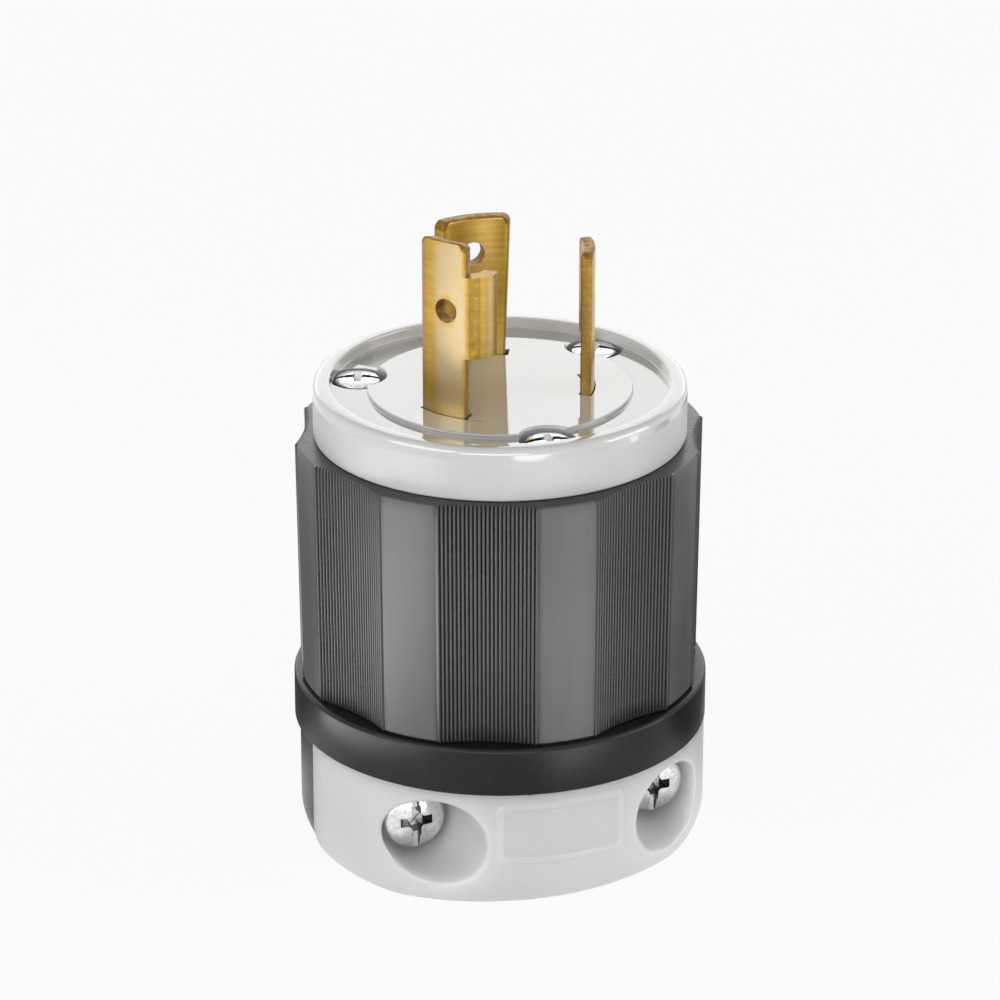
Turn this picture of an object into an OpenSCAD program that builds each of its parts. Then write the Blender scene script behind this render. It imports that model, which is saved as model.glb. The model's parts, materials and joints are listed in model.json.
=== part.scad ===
// Three-blade locking power plug with a ribbed shell and a two-screw cord clamp.
// It stands on its cord end with the blades up, and the clamp jaw is on its front, -Y.

/* [Cord clamp] */
// Outer radius of the clamp jaw, which the ring, the rear block and the shell follow
clamp_r = 21.25; // [20.4:0.05:23]
// Height of the clamp jaw, from the floor to the flange
clamp_h = 14.1; // [13.4:0.1:17]
// Radius of the rounding around the foot
foot_side_r = 5.8; // [4:0.1:6.4]
// Radius of the fuller rounding at the front of the foot
foot_front_r = 7.2; // [6.6:0.1:8]
// Distance of that rounding's axis behind the middle of the plug
foot_front_y = 5.0; // [3:0.1:6]
// Distance of the clamp screws from the middle of the plug
clamp_screw_x = 12.95; // [12.5:0.05:13.4]
// Height of the clamp screws above the floor
clamp_screw_z = 8.2; // [7.6:0.1:8.4]
// Radius of the round pocket at its floor, where the screw head sits
pocket_r = 3.7; // [3.5:0.05:4]
// Radius that the pocket widens to at the front of the clamp jaw
pocket_mouth_r = 5.2; // [4.4:0.1:5.3]
// Distance of the pocket's floor from the middle of the plug
pocket_floor_y = 9.4; // [8.6:0.1:11]
// Radius of the curved jaw that grips the cord
jaw_r = 8.0; // [6:0.1:8.6]
// Depth of the jaw from the middle of the plug, with the clamp closed
jaw_depth = 4.9; // [3.6:0.1:6.4]
// Number of grip grooves across the jaw
jaw_groove_count = 3; // [1:1:3]
// Height from one grip groove to the next
jaw_groove_pitch = 3.0; // [2.4:0.1:3.6]
// Width of each grip groove
jaw_groove_w = 1.5; // [1:0.1:1.8]
// Depth of the grip grooves
jaw_groove_depth = 0.5; // [0.2:0.1:0.8]
// Sideways place of the blank raised frame between the screws
frame_x = -0.45; // [-1:0.05:1]
// Half width of the raised frame
frame_half_w = 6.8; // [5:0.1:7]
// Height of the raised frame
frame_h = 6.5; // [4:0.1:7]
// Width of the raised frame's border
frame_border = 0.6; // [0.4:0.1:1.2]
// How far the raised frame stands out of the clamp
frame_proud = 0.15; // [0.05:0.05:0.3]

/* [Back housing] */
// How far the flange ring stands out past the clamp jaw
ring_proud = 0.1; // [0:0.05:0.4]
// Height of the flange ring
flange_h = 5.1; // [4:0.1:8]
// Thickness of the housing's floor
housing_floor = 3.2; // [3:0.1:3.6]
// Radius of the cord hole in the housing's floor
cord_hole_r = 10.0; // [8:0.1:11]
// How far the rear block is set back from the clamp jaw's round side
block_inset = 0.45; // [0.1:0.05:1]
// Distance from the middle of the plug to the rear block's flat front
block_front_y = 2.0; // [1.5:0.1:2.5]
// Half width of the cord's way in between the rear block's two arms
cord_gap_x = 8.6; // [8.2:0.1:9]
// Height of the spigot that locates the shell
spigot_h = 3.0; // [2:0.1:4]
// Wall of the spigot
spigot_wall = 1.8; // [1.2:0.1:2.4]
// Radius of the posts that carry the long screws
post_r = 2.5; // [2.3:0.05:2.5]
// Gap between the posts' tops and the flange's top, where the wires bend
wire_room = 6.9; // [5:0.1:9]

/* [Shell] */
// How far the shell's smooth lands are set back from the clamp's round side
shell_inset = 0.4; // [0:0.05:1]
// Inner radius of the shell
shell_bore_r = 17.55; // [17.3:0.05:18]
// Height of the shell
shell_h = 26.0; // [24:0.1:32]
// Number of ribbed panels around the shell
panel_count = 8; // [6:1:10]
// Width of each smooth land, as an angle
land_angle = 16.5; // [10:0.5:20]
// Depth of each panel's hollow below a straight line across it
panel_sag = 0.6; // [0.2:0.05:0.9]
// Number of ribs in each panel
rib_count = 25; // [9:2:25]
// Height of the ribs
rib_h = 0.16; // [0.08:0.01:0.22]
// Chamfer at the shell's upper edge
shell_chamfer = 0.3; // [0.1:0.05:0.6]

/* [Face] */
// Outer radius of the face
face_r = 19.05; // [18.6:0.05:19.4]
// Height of the face above the shell
face_h = 5.6; // [4.5:0.1:8]
// Radius of the face's rounded outer edge
face_edge_r = 0.7; // [0.3:0.05:1]
// Inner radius of the raised rim
rim_inner_r = 17.3; // [16.8:0.05:17.8]
// Depth of the annular band below the rim
band_depth = 1.15; // [0.8:0.05:1.6]
// Radius of the raised middle of the face
plateau_r = 13.5; // [13:0.1:14]
// Depth of the raised middle below the rim
plateau_depth = 0.7; // [0.4:0.05:0.75]
// Depth of the locating step under the face
face_step_h = 1.5; // [1:0.1:2]

/* [Blades] */
// Outer radius of the circle that the blades lie on
blade_r = 9.95; // [9.4:0.05:10.6]
// Thickness of the blade stock
blade_t = 1.5; // [1:0.05:1.8]
// Thickness of the hot blade's sheet
hot_t = 1.15; // [1:0.05:1.5]
// Length of the grounding blade above the face
ground_len = 18.5; // [17.5:0.1:21]
// Length of the neutral blade above the face
neutral_len = 15.1; // [14:0.1:18]
// Length of the hot blade above the face
hot_len = 15.1; // [14:0.1:18]
// Width of the grounding blade's straight part
ground_w = 5.2; // [4.8:0.1:6]
// Width of the neutral blade
neutral_w = 7.7; // [6.6:0.1:8]
// Width of the hot blade
hot_w = 6.0; // [5.6:0.1:7]
// Height of the grounding hook's lower end above the face
hook_foot_h = 6.4; // [5:0.1:7.4]
// Height of the locking notch in the neutral and hot blades above the face
notch_h = 4.8; // [4.2:0.1:6]
// Width of that notch
notch_w = 1.9; // [1.2:0.1:2.4]
// Radius of the blades' rounded corners
blade_corner_r = 0.9; // [0.4:0.1:1.2]
// Radius of the hole in each blade
blade_hole_r = 1.25; // [0.8:0.05:1.5]
// Height of the blade holes above the face
blade_hole_h = 11.2; // [10:0.1:12]
// Distance of the grounding blade's hole from its middle, towards the hook
ground_hole_y = 0.5; // [0:0.1:0.8]
// Drop from the grounding blade's tip to the top of its hook
hook_drop = 3.5; // [2.5:0.1:4.5]
// Outer radius of the grounding hook's inward bend
hook_bend_r = 2.0; // [1.8:0.1:2.2]
// Length of the grounding hook past its bend, towards the middle
hook_reach = 1.2; // [0.8:0.1:1.8]

/* [Terminals] */
// Radial gap between the terminal body and the shell's bore
carrier_gap = 0.3; // [0.15:0.05:0.6]
// Thickness of the retainer plate under the terminal body
retainer_t = 1.5; // [1.2:0.1:2.5]
// Width of the blades' flat terminal tabs
tab_w = 8.4; // [7:0.1:8.6]
// Height of the terminal screws above the retainer plate
terminal_z = 6.0; // [5.4:0.1:7]
// Side of the square pressure plates
plate_w = 8.0; // [7:0.1:8.2]
// Thickness of the pressure plates
plate_t = 1.2; // [0.8:0.1:1.4]
// Room for the wire between a tab and its pressure plate
wire_gap = 1.4; // [0.8:0.1:1.6]
// Radius of the wire holes in the retainer plate
wire_hole_r = 2.6; // [2:0.1:2.8]

/* [Screws] */
// Distance of the long face screws from the middle
face_screw_r = 14.8; // [14.5:0.05:14.9]
// Radius of the face screws' heads
face_head_r = 2.35; // [2.2:0.05:2.5]
// Radius of the pockets round those heads
face_pocket_r = 2.8; // [2.7:0.05:3]
// Depth of those heads below the raised middle of the face
face_head_sink = 0.5; // [0.4:0.1:1.6]
// Radius of the face screws' shanks
face_shank_r = 1.6; // [1.4:0.05:1.65]
// Radius of the clamp screws' heads
clamp_head_r = 3.15; // [2.9:0.05:3.3]
// Radius of the clamp screws' shanks
clamp_shank_r = 1.75; // [1.5:0.05:1.9]
// Length of the clamp screws under the head
clamp_screw_len = 22.2; // [21.6:0.1:22.6]
// Radius of the terminal screws' heads
terminal_head_r = 3.2; // [2.8:0.05:3.4]
// Radius of the terminal screws' shanks
terminal_shank_r = 1.95; // [1.6:0.05:2]

/* [Clearances] */
// Gap between flat faces of the sliding clamp jaw and the housing
slide_gap = 0.05; // [0.02:0.01:0.1]
// Radial gap between parts that plug into each other
fit_gap = 0.1; // [0.05:0.01:0.15]
// Radial gap between a screw and its thread
thread_gap = 0.05; // [0.02:0.01:0.08]
// Radial gap round a screw in a plain hole
hole_gap = 0.3; // [0.2:0.05:0.35]
// Gap round a blade in its slot
slot_gap = 0.12; // [0.05:0.01:0.2]

/* [Hidden] */
$fn = 96;

// Heights of the seats, from the floor up
flange_z = clamp_h;
shell_z = flange_z + flange_h;
shell_top_z = shell_z + shell_h;
rim_z = shell_top_z + face_h;
plateau_z = rim_z - plateau_depth;
band_z = rim_z - band_depth;
face_under_z = shell_top_z - face_step_h;
retainer_z = shell_z + wire_room;
carrier_z = retainer_z + retainer_t;
terminal_mid_z = carrier_z + terminal_z;

// Angles are measured at the middle, from the front (-Y) towards +X
ground_angle = -55;
neutral_angle = 180;
hot_angle = 72;
face_screw_angles = [0, 120, 240];
terminal_angles = [ground_angle, neutral_angle, hot_angle];

// Sizes that follow from the ones above
flange_r = clamp_r + ring_proud;
block_r = clamp_r - block_inset;
shell_r = clamp_r - shell_inset;
carrier_r = shell_bore_r - carrier_gap;
blade_in_r = blade_r - blade_t;
spigot_r = shell_bore_r - fit_gap;
plate_x = blade_r + wire_gap;
terminal_head_x = plate_x + plate_t;
terminal_head_h = 2.0;
terminal_shank_back = 2.2;
terminal_pocket_back = 2.6;
tab_drop = 3.0;
tab_top_z = face_under_z - tab_drop;
face_head_z = plateau_z - face_head_sink;
face_head_h = 1.9;
face_tip_z = flange_z + 1.6;
face_bore_z = flange_z + 1.2;
foot_side_sink = 0.85;
foot_front_sink = 0.5;
foot_front_clear = 0.05;
clamp_head_h = 2.2;
clamp_nut_h = 2.4;
clamp_nut_r = 3.67;
clamp_nut_y = 2.2;
clamp_tip_clear = 0.8;
recess_w = 0.9;
recess_depth = 1.0;
flange_edge_r = 0.4;
frame_lift = 1.5;
slit_w = 0.35;
slit_depth = 1.2;
slit_len = 2.2;

// Moves a shape drawn along +X out to an angle measured from the front
module at_angle(a) {
    rotate([0, 0, a - 90]) children();
}

// Lays a flat shape, drawn in width and height, along the radius from r0 to r1
module radial_extrude(r0, r1) {
    translate([r0, 0, 0]) rotate([90, 0, 90]) linear_extrude(height = r1 - r0) children();
}

// Round bar along the radius, from r0 to r1 at height z
module radial_bar(r, r0, r1, z) {
    translate([r0, 0, z]) rotate([0, 90, 0]) cylinder(r = r, h = r1 - r0);
}

// Round bar along +Y, from y0 to y1
module y_bar(r, y0, y1, x, z) {
    translate([x, y0, z]) rotate([-90, 0, 0]) cylinder(r = r, h = y1 - y0);
}

// Plate outline with rounded upper corners, standing on the line y = 0
module tip_outline(w, h, r) {
    translate([-w / 2, 0]) square([w, h - r]);
    translate([r - w / 2, h - 2 * r]) square([w - 2 * r, 2 * r]);
    for (side = [-1, 1]) translate([side * (w / 2 - r), h - r]) circle(r = r, $fn = 32);
}

// Cross and slot recess for a screw head whose face is at z = 0
module driver_recess(head_r) {
    slot_l = 2 * head_r + 1;
    cross_l = 1.15 * head_r;
    translate([-slot_l / 2, -recess_w / 2, -recess_depth * 0.7]) cube([slot_l, recess_w, recess_depth]);
    translate([-recess_w / 2, -cross_l / 2, -recess_depth]) cube([recess_w, cross_l, 2 * recess_depth]);
}

// Screw with its head's face at z = 0, pointing down
module screw(head_r, head_h, shank_r, shank_l) {
    edge = 0.35;
    difference() {
        union() {
            translate([0, 0, -edge]) cylinder(r1 = head_r, r2 = head_r - edge, h = edge);
            translate([0, 0, -head_h]) cylinder(r = head_r, h = head_h - edge);
            translate([0, 0, -head_h - shank_l]) cylinder(r = shank_r, h = shank_l + head_h / 2);
        }
        driver_recess(head_r);
    }
}

// Rounded slot that the sheet of a blade passes through, with its gap
module blade_slot(w, t, z0, z1) {
    intersection() {
        translate([0, 0, z0]) difference() {
            cylinder(r = blade_in_r + t + slot_gap, h = z1 - z0);
            translate([0, 0, -1]) cylinder(r = blade_in_r - slot_gap, h = z1 - z0 + 2);
        }
        translate([0, -w / 2 - slot_gap, z0]) cube([2 * blade_r, w + 2 * slot_gap, z1 - z0]);
    }
}

// Curved sheet of a blade: the flat outline of children, rolled onto the blade circle
module rolled_sheet(t, z0, z1) {
    intersection() {
        translate([0, 0, z0]) difference() {
            cylinder(r = blade_in_r + t, h = z1 - z0);
            translate([0, 0, -1]) cylinder(r = blade_in_r, h = z1 - z0 + 2);
        }
        radial_extrude(1, 2 * blade_r) children();
    }
}

// Flat terminal tab under a blade, with its tapped hole
module terminal_tab(t) {
    difference() {
        translate([blade_in_r, -tab_w / 2, carrier_z]) cube([t, tab_w, tab_top_z - carrier_z]);
        radial_bar(terminal_shank_r + thread_gap, blade_in_r - 1, blade_r + 1, terminal_mid_z);
    }
}

// Neck between the flat tab and the rolled sheet
module blade_neck(w, t) {
    translate([blade_in_r - 0.6, -w / 2 + 0.4, tab_top_z - 2]) cube([t + 0.3, w - 0.8, 2]);
}

// Blade with a plain tip and a locking notch at its far end
module plain_blade(w, t, len) {
    tip_z = plateau_z + len;
    notch_top = plateau_z + notch_h;
    difference() {
        union() {
            rolled_sheet(t, tab_top_z - 2, tip_z)
                translate([0, tab_top_z - 2]) tip_outline(w, tip_z - tab_top_z + 2, blade_corner_r);
            blade_neck(w - notch_w, t);
            terminal_tab(t);
        }
        translate([0, w / 2 - notch_w, tab_top_z - 3])
            cube([2 * blade_r, notch_w + 1, notch_top - tab_top_z + 3]);
        radial_bar(blade_hole_r, blade_in_r - 2, blade_r + 1, plateau_z + blade_hole_h);
    }
}

// Plan of the grounding hook: a quarter bend that turns the sheet towards the middle
module hook_plan() {
    bend_x = sqrt(blade_r * blade_r - ground_w * ground_w / 4) - hook_bend_r - 0.05;
    bend_y = ground_w / 2 - 0.3;
    intersection() {
        translate([bend_x, bend_y]) difference() {
            circle(r = hook_bend_r, $fn = 48);
            circle(r = hook_bend_r - blade_t, $fn = 48);
        }
        translate([bend_x, bend_y]) square(2 * hook_bend_r);
    }
    translate([bend_x - hook_reach, bend_y + hook_bend_r - blade_t]) square([hook_reach, blade_t]);
}

module blade_ground() color("goldenrod") at_angle(ground_angle) {
    tip_z = plateau_z + ground_len;
    difference() {
        union() {
            rolled_sheet(blade_t, tab_top_z - 2, tip_z)
                translate([0, tab_top_z - 2]) tip_outline(ground_w, tip_z - tab_top_z + 2, blade_corner_r);
            translate([0, 0, plateau_z + hook_foot_h])
                linear_extrude(height = ground_len - hook_foot_h - hook_drop) hook_plan();
            blade_neck(ground_w, blade_t);
            terminal_tab(blade_t);
        }
        translate([0, ground_hole_y, 0])
            radial_bar(blade_hole_r, blade_in_r - 2, blade_r + 1, plateau_z + blade_hole_h);
    }
}

module blade_neutral() color("goldenrod") at_angle(neutral_angle)
    plain_blade(neutral_w, blade_t, neutral_len);

module blade_hot() color("goldenrod") at_angle(hot_angle) plain_blade(hot_w, hot_t, hot_len);

// Profile of the face: edge, rim, band and raised middle
module face_profile() {
    difference() {
        union() {
            translate([0, face_under_z]) square([spigot_r, rim_z - face_under_z]);
            translate([0, shell_top_z]) square([face_r, face_h - face_edge_r]);
            translate([0, rim_z - 2 * face_edge_r]) square([face_r - face_edge_r, 2 * face_edge_r]);
            translate([face_r - face_edge_r, rim_z - face_edge_r]) circle(r = face_edge_r, $fn = 48);
        }
        translate([-1, plateau_z]) square([plateau_r + 1, 2]);
        translate([plateau_r - 0.1, band_z]) square([rim_inner_r - plateau_r + 0.1, 2]);
    }
}

// Narrow slit in the face beyond the grounding blade's foot, under its hook
module hook_slit() {
    intersection() {
        translate([0, 0, plateau_z - slit_depth]) difference() {
            cylinder(r = blade_r + slot_gap, h = 2 * slit_depth);
            translate([0, 0, -1]) cylinder(r = blade_r + slot_gap - slit_w, h = 2 * slit_depth + 2);
        }
        translate([0, ground_w / 2 - 0.5, plateau_z - slit_depth])
            cube([2 * blade_r, slit_len, 2 * slit_depth]);
    }
}

module face_disc() color("whitesmoke") difference() {
    rotate_extrude() face_profile();
    at_angle(ground_angle) {
        blade_slot(ground_w, blade_t, face_under_z - 1, rim_z);
        hook_slit();
    }
    at_angle(neutral_angle) blade_slot(neutral_w, blade_t, face_under_z - 1, rim_z);
    at_angle(hot_angle) blade_slot(hot_w, hot_t, face_under_z - 1, rim_z);
    for (a = face_screw_angles) at_angle(a) translate([face_screw_r, 0, 0]) {
        translate([0, 0, face_under_z - 1]) cylinder(r = face_shank_r + hole_gap, h = rim_z);
        translate([0, 0, face_head_z - face_head_h]) cylinder(r = face_pocket_r, h = rim_z);
    }
}

// Moulded block that holds the blades and their terminals
module terminal_body() color("gainsboro") difference() {
    translate([0, 0, carrier_z]) cylinder(r = carrier_r, h = face_under_z - carrier_z);
    for (a = face_screw_angles) at_angle(a) {
        translate([face_screw_r, 0, carrier_z - 1])
            cylinder(r = face_shank_r + hole_gap, h = face_under_z - carrier_z + 2);
        translate([face_screw_r, -face_shank_r, carrier_z - 1])
            cube([carrier_r, 2 * face_shank_r, face_under_z - carrier_z + 2]);
    }
    for (i = [0 : 2]) at_angle(terminal_angles[i]) {
        pocket_w = tab_w + 4 * slot_gap;
        blade_w = [ground_w, neutral_w, hot_w][i];
        sheet_t = [blade_t, blade_t, hot_t][i];
        translate([blade_in_r - terminal_pocket_back, -pocket_w / 2, carrier_z - 1])
            cube([carrier_r, pocket_w, tab_top_z - carrier_z + 1 + slot_gap]);
        blade_slot(blade_w, sheet_t, tab_top_z - 1, face_under_z + 1);
    }
}

// Plate that keeps the blades from being pushed back, with a hole for each wire
module blade_retainer() color("dimgray") difference() {
    translate([0, 0, retainer_z]) cylinder(r = carrier_r, h = retainer_t);
    for (a = face_screw_angles) at_angle(a) translate([face_screw_r, 0, retainer_z - 1])
        cylinder(r = face_shank_r + hole_gap, h = retainer_t + 2);
    for (a = terminal_angles) at_angle(a) translate([blade_r + wire_gap / 2 + 0.9, 0, retainer_z - 1])
        cylinder(r = wire_hole_r, h = retainer_t + 2);
    translate([0, 0, retainer_z - 1]) cylinder(r = 3, h = retainer_t + 2);
}

module pressure_plate(a) at_angle(a) difference() {
    translate([plate_x, -plate_w / 2, terminal_mid_z - plate_w / 2]) cube([plate_t, plate_w, plate_w]);
    radial_bar(terminal_shank_r + thread_gap, plate_x - 1, plate_x + plate_t + 1, terminal_mid_z);
}

module pressure_plate_ground() color("khaki") pressure_plate(ground_angle);

module pressure_plate_neutral() color("silver") pressure_plate(neutral_angle);

module pressure_plate_hot() color("khaki") pressure_plate(hot_angle);

module terminal_screw(a) at_angle(a)
    translate([terminal_head_x + terminal_head_h, 0, terminal_mid_z]) rotate([0, 90, 0])
        screw(terminal_head_r, terminal_head_h, terminal_shank_r,
            terminal_head_x - blade_in_r + terminal_shank_back);

module terminal_screw_ground() color("green") terminal_screw(ground_angle);

module terminal_screw_neutral() color("silver") terminal_screw(neutral_angle);

module terminal_screw_hot() color("goldenrod") terminal_screw(hot_angle);

module face_screws() color("silver")
    for (a = face_screw_angles) at_angle(a) translate([face_screw_r, 0, face_head_z])
        screw(face_head_r, face_head_h, face_shank_r, face_head_z - face_head_h - face_tip_z);

// Point on a panel's hollow, at angle q round the hollow's own centre and raised by lift
panel_half = (360 / panel_count - land_angle) / 2;
panel_chord = shell_r * sin(panel_half);
hollow_r = (panel_chord * panel_chord + panel_sag * panel_sag) / (2 * panel_sag);
hollow_centre = shell_r * cos(panel_half) - panel_sag + hollow_r;
rib_half = asin(panel_chord / hollow_r);
function hollow_point(q, lift) = [
    hollow_centre - (hollow_r - lift) * cos(q),
    (hollow_r - lift) * sin(q)
];
function turned(p, a) = [p[0] * cos(a) - p[1] * sin(a), p[0] * sin(a) + p[1] * cos(a)];

// Outline of the ribbed panels; the lands between them are cut by the round envelope
module panel_outline() {
    pitch = 2 * rib_half / rib_count;
    overrun = 1.17;
    polygon([for (k = [0 : panel_count - 1]) each [
        turned(hollow_point(-rib_half * overrun, 0), (k + 0.5) * 360 / panel_count),
        for (i = [0 : rib_count - 1]) each [
            for (step = [[0.12, 0], [0.38, rib_h], [0.62, rib_h], [0.88, 0]])
                turned(hollow_point(-rib_half + (i + step[0]) * pitch, step[1]),
                    (k + 0.5) * 360 / panel_count)
        ],
        turned(hollow_point(rib_half * overrun, 0), (k + 0.5) * 360 / panel_count)
    ]]);
}

module body_shell() color("#3a3a3a") difference() {
    intersection() {
        translate([0, 0, shell_z]) rotate([0, 0, -90]) linear_extrude(height = shell_h) panel_outline();
        union() {
            translate([0, 0, shell_z]) cylinder(r = shell_r, h = shell_h - shell_chamfer);
            translate([0, 0, shell_top_z - shell_chamfer])
                cylinder(r1 = shell_r, r2 = shell_r - shell_chamfer, h = shell_chamfer);
        }
    }
    translate([0, 0, shell_z - 1]) cylinder(r = shell_bore_r, h = shell_h + 2);
}

// Round block with a rounded foot; its rounding runs on a little below the floor
module foot_solid(r, edge, sink) {
    arc_z = edge - sink;
    rotate_extrude() {
        translate([0, arc_z]) square([r, clamp_h - arc_z]);
        square([r - edge, clamp_h]);
        intersection() {
            translate([r - edge, arc_z]) circle(r = edge);
            square([r + 1, clamp_h]);
        }
    }
}

// Curved channel across a clamp part that grips the cord, with its grip grooves
module jaw_channel() {
    first_groove_z = (clamp_h - jaw_groove_w - (jaw_groove_count - 1) * jaw_groove_pitch) / 2;
    translate([0, 0, -1]) cylinder(r = jaw_r, h = clamp_h + 1);
    for (i = [0 : jaw_groove_count - 1])
        translate([0, 0, first_groove_z + i * jaw_groove_pitch])
            cylinder(r = jaw_r + jaw_groove_depth, h = jaw_groove_w);
}

// Fixed block under the flange that the clamp jaw presses the cord against
module rear_block() {
    difference() {
        foot_solid(block_r, foot_side_r, foot_side_sink);
        translate([-clamp_r - 1, -clamp_r - 1 - block_front_y, -1])
            cube([2 * clamp_r + 2, clamp_r + 1, clamp_h + 2]);
        translate([-cord_gap_x, -block_front_y - 1, -1])
            cube([2 * cord_gap_x, 2 * block_front_y + 1, clamp_h + 2]);
        translate([0, jaw_depth - jaw_r, 0]) jaw_channel();
    }
}

// Bore for a clamp screw, with a slot from below that holds its nut
module nut_bore() {
    slot_h = clamp_nut_h + fit_gap;
    slot_r = clamp_nut_r + fit_gap;
    bore_end_y = clamp_screw_len - pocket_floor_y + clamp_tip_clear;
    y_bar(clamp_shank_r + hole_gap, -block_front_y - 1, bore_end_y, 0, clamp_screw_z);
    translate([0, clamp_nut_y - fit_gap / 2, clamp_screw_z]) {
        rotate([-90, 0, 0]) cylinder(r = slot_r, h = slot_h, $fn = 6);
        translate([-slot_r, 0, -clamp_h]) cube([2 * slot_r, slot_h, clamp_h]);
    }
}

module back_housing() color("#2c2c2c") difference() {
    union() {
        rotate_extrude() {
            translate([cord_hole_r, flange_z]) square([flange_r - cord_hole_r, housing_floor]);
            translate([spigot_r - spigot_wall, flange_z])
                square([flange_r - spigot_r + spigot_wall, flange_h - flange_edge_r]);
            translate([spigot_r - spigot_wall, flange_z + housing_floor])
                square([flange_r - flange_edge_r - spigot_r + spigot_wall, flange_h - housing_floor]);
            translate([flange_r - flange_edge_r, shell_z - flange_edge_r])
                circle(r = flange_edge_r, $fn = 32);
            translate([spigot_r - spigot_wall, flange_z]) square([spigot_wall, flange_h + spigot_h]);
        }
        for (a = face_screw_angles) at_angle(a) translate([face_screw_r, 0, flange_z])
            cylinder(r = post_r, h = retainer_z - flange_z);
        rear_block();
    }
    for (a = face_screw_angles) at_angle(a) translate([face_screw_r, 0, face_bore_z])
        cylinder(r = face_shank_r + thread_gap, h = retainer_z - face_bore_z + 1);
    for (side = [-1, 1]) translate([side * clamp_screw_x, 0, 0]) nut_bore();
}

// Rounded rectangle in width and height, centred on a point
module rounded_plate(w, h, r) {
    square([w - 2 * r, h], center = true);
    square([w, h - 2 * r], center = true);
    for (sx = [-1, 1], sy = [-1, 1]) translate([sx * (w / 2 - r), sy * (h / 2 - r)]) circle(r = r, $fn = 24);
}

// Blank raised border between the screw pockets, cut to the clamp's round front
module raised_frame() {
    intersection() {
        cylinder(r = clamp_r + frame_proud, h = clamp_h);
        translate([frame_x, 0, clamp_screw_z + frame_lift]) rotate([90, 0, 0])
            linear_extrude(height = 2 * clamp_r) difference() {
                rounded_plate(2 * frame_half_w, frame_h, 1);
                rounded_plate(2 * (frame_half_w - frame_border), frame_h - 2 * frame_border, 0.6);
            }
    }
}

module clamp_jaw() color("whitesmoke") difference() {
    union() {
        intersection() {
            foot_solid(clamp_r, foot_side_r, foot_side_sink);
            translate([0, foot_front_y, 0])
                foot_solid(clamp_r + foot_front_y + foot_front_clear, foot_front_r, foot_front_sink);
        }
        raised_frame();
    }
    translate([-clamp_r - 1, -block_front_y - slide_gap, -1])
        cube([2 * clamp_r + 2, 2 * clamp_r, clamp_h + 2]);
    translate([-clamp_r - 1, -clamp_r - 1, clamp_h - slide_gap]) cube([2 * clamp_r + 2, clamp_r + 2, 1]);
    translate([0, jaw_r - jaw_depth, 0]) jaw_channel();
    for (side = [-1, 1]) {
        y_bar(clamp_shank_r + hole_gap, -clamp_r, 0, side * clamp_screw_x, clamp_screw_z);
        translate([side * clamp_screw_x, -pocket_floor_y, clamp_screw_z]) rotate([90, 0, 0])
            cylinder(r1 = pocket_r, r2 = pocket_mouth_r, h = clamp_r - pocket_floor_y);
    }
}

module clamp_screws() color("silver")
    for (side = [-1, 1])
        translate([side * clamp_screw_x, -pocket_floor_y - clamp_head_h, clamp_screw_z]) rotate([90, 0, 0])
            screw(clamp_head_r, clamp_head_h, clamp_shank_r, clamp_screw_len);

module clamp_nuts() color("silver")
    for (side = [-1, 1]) translate([side * clamp_screw_x, clamp_nut_y, clamp_screw_z]) rotate([-90, 0, 0])
        difference() {
            cylinder(r = clamp_nut_r, h = clamp_nut_h, $fn = 6);
            translate([0, 0, -1]) cylinder(r = clamp_shank_r + thread_gap, h = clamp_nut_h + 2);
        }

face_disc();
blade_ground();
blade_neutral();
blade_hot();
terminal_body();
blade_retainer();
pressure_plate_ground();
pressure_plate_neutral();
pressure_plate_hot();
terminal_screw_ground();
terminal_screw_neutral();
terminal_screw_hot();
face_screws();
body_shell();
back_housing();
clamp_jaw();
clamp_screws();
clamp_nuts();
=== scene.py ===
from functools import cached_property
import json
import math
import bmesh
import bpy
import numpy as np
from mathutils import Matrix, Vector


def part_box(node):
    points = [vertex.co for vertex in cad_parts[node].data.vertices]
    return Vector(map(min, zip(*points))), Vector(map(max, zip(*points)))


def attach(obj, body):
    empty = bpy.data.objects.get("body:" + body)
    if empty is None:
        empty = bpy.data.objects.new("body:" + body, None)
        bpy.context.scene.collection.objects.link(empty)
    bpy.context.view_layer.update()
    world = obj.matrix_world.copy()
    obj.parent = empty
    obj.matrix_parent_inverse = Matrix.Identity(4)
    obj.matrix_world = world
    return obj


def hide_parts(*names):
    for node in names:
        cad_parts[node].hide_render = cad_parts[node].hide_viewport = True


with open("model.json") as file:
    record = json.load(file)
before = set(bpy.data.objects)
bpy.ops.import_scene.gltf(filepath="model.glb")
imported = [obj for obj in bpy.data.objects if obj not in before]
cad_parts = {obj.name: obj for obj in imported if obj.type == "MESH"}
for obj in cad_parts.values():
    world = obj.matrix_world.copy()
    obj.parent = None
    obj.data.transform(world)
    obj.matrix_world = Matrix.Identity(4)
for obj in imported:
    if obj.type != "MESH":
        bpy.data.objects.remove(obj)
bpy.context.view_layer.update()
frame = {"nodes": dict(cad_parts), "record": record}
mm = 0.001


def addObject(name, data):
    # puts data into the scene as an object at the origin
    made = bpy.data.objects.new(name, data)
    bpy.context.scene.collection.objects.link(made)
    return made


# Camera

camera = {
    "azimuth": 19.0,      # degrees to the left of the clamp jaw's front
    "elevation": 22.9,    # degrees above the floor
    "distance": 527.7,    # mm from the point looked at
    "lookHeight": 37.4,   # mm above the floor
    "lens": 185.3,        # mm on a sensor 36 mm wide
}


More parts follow.
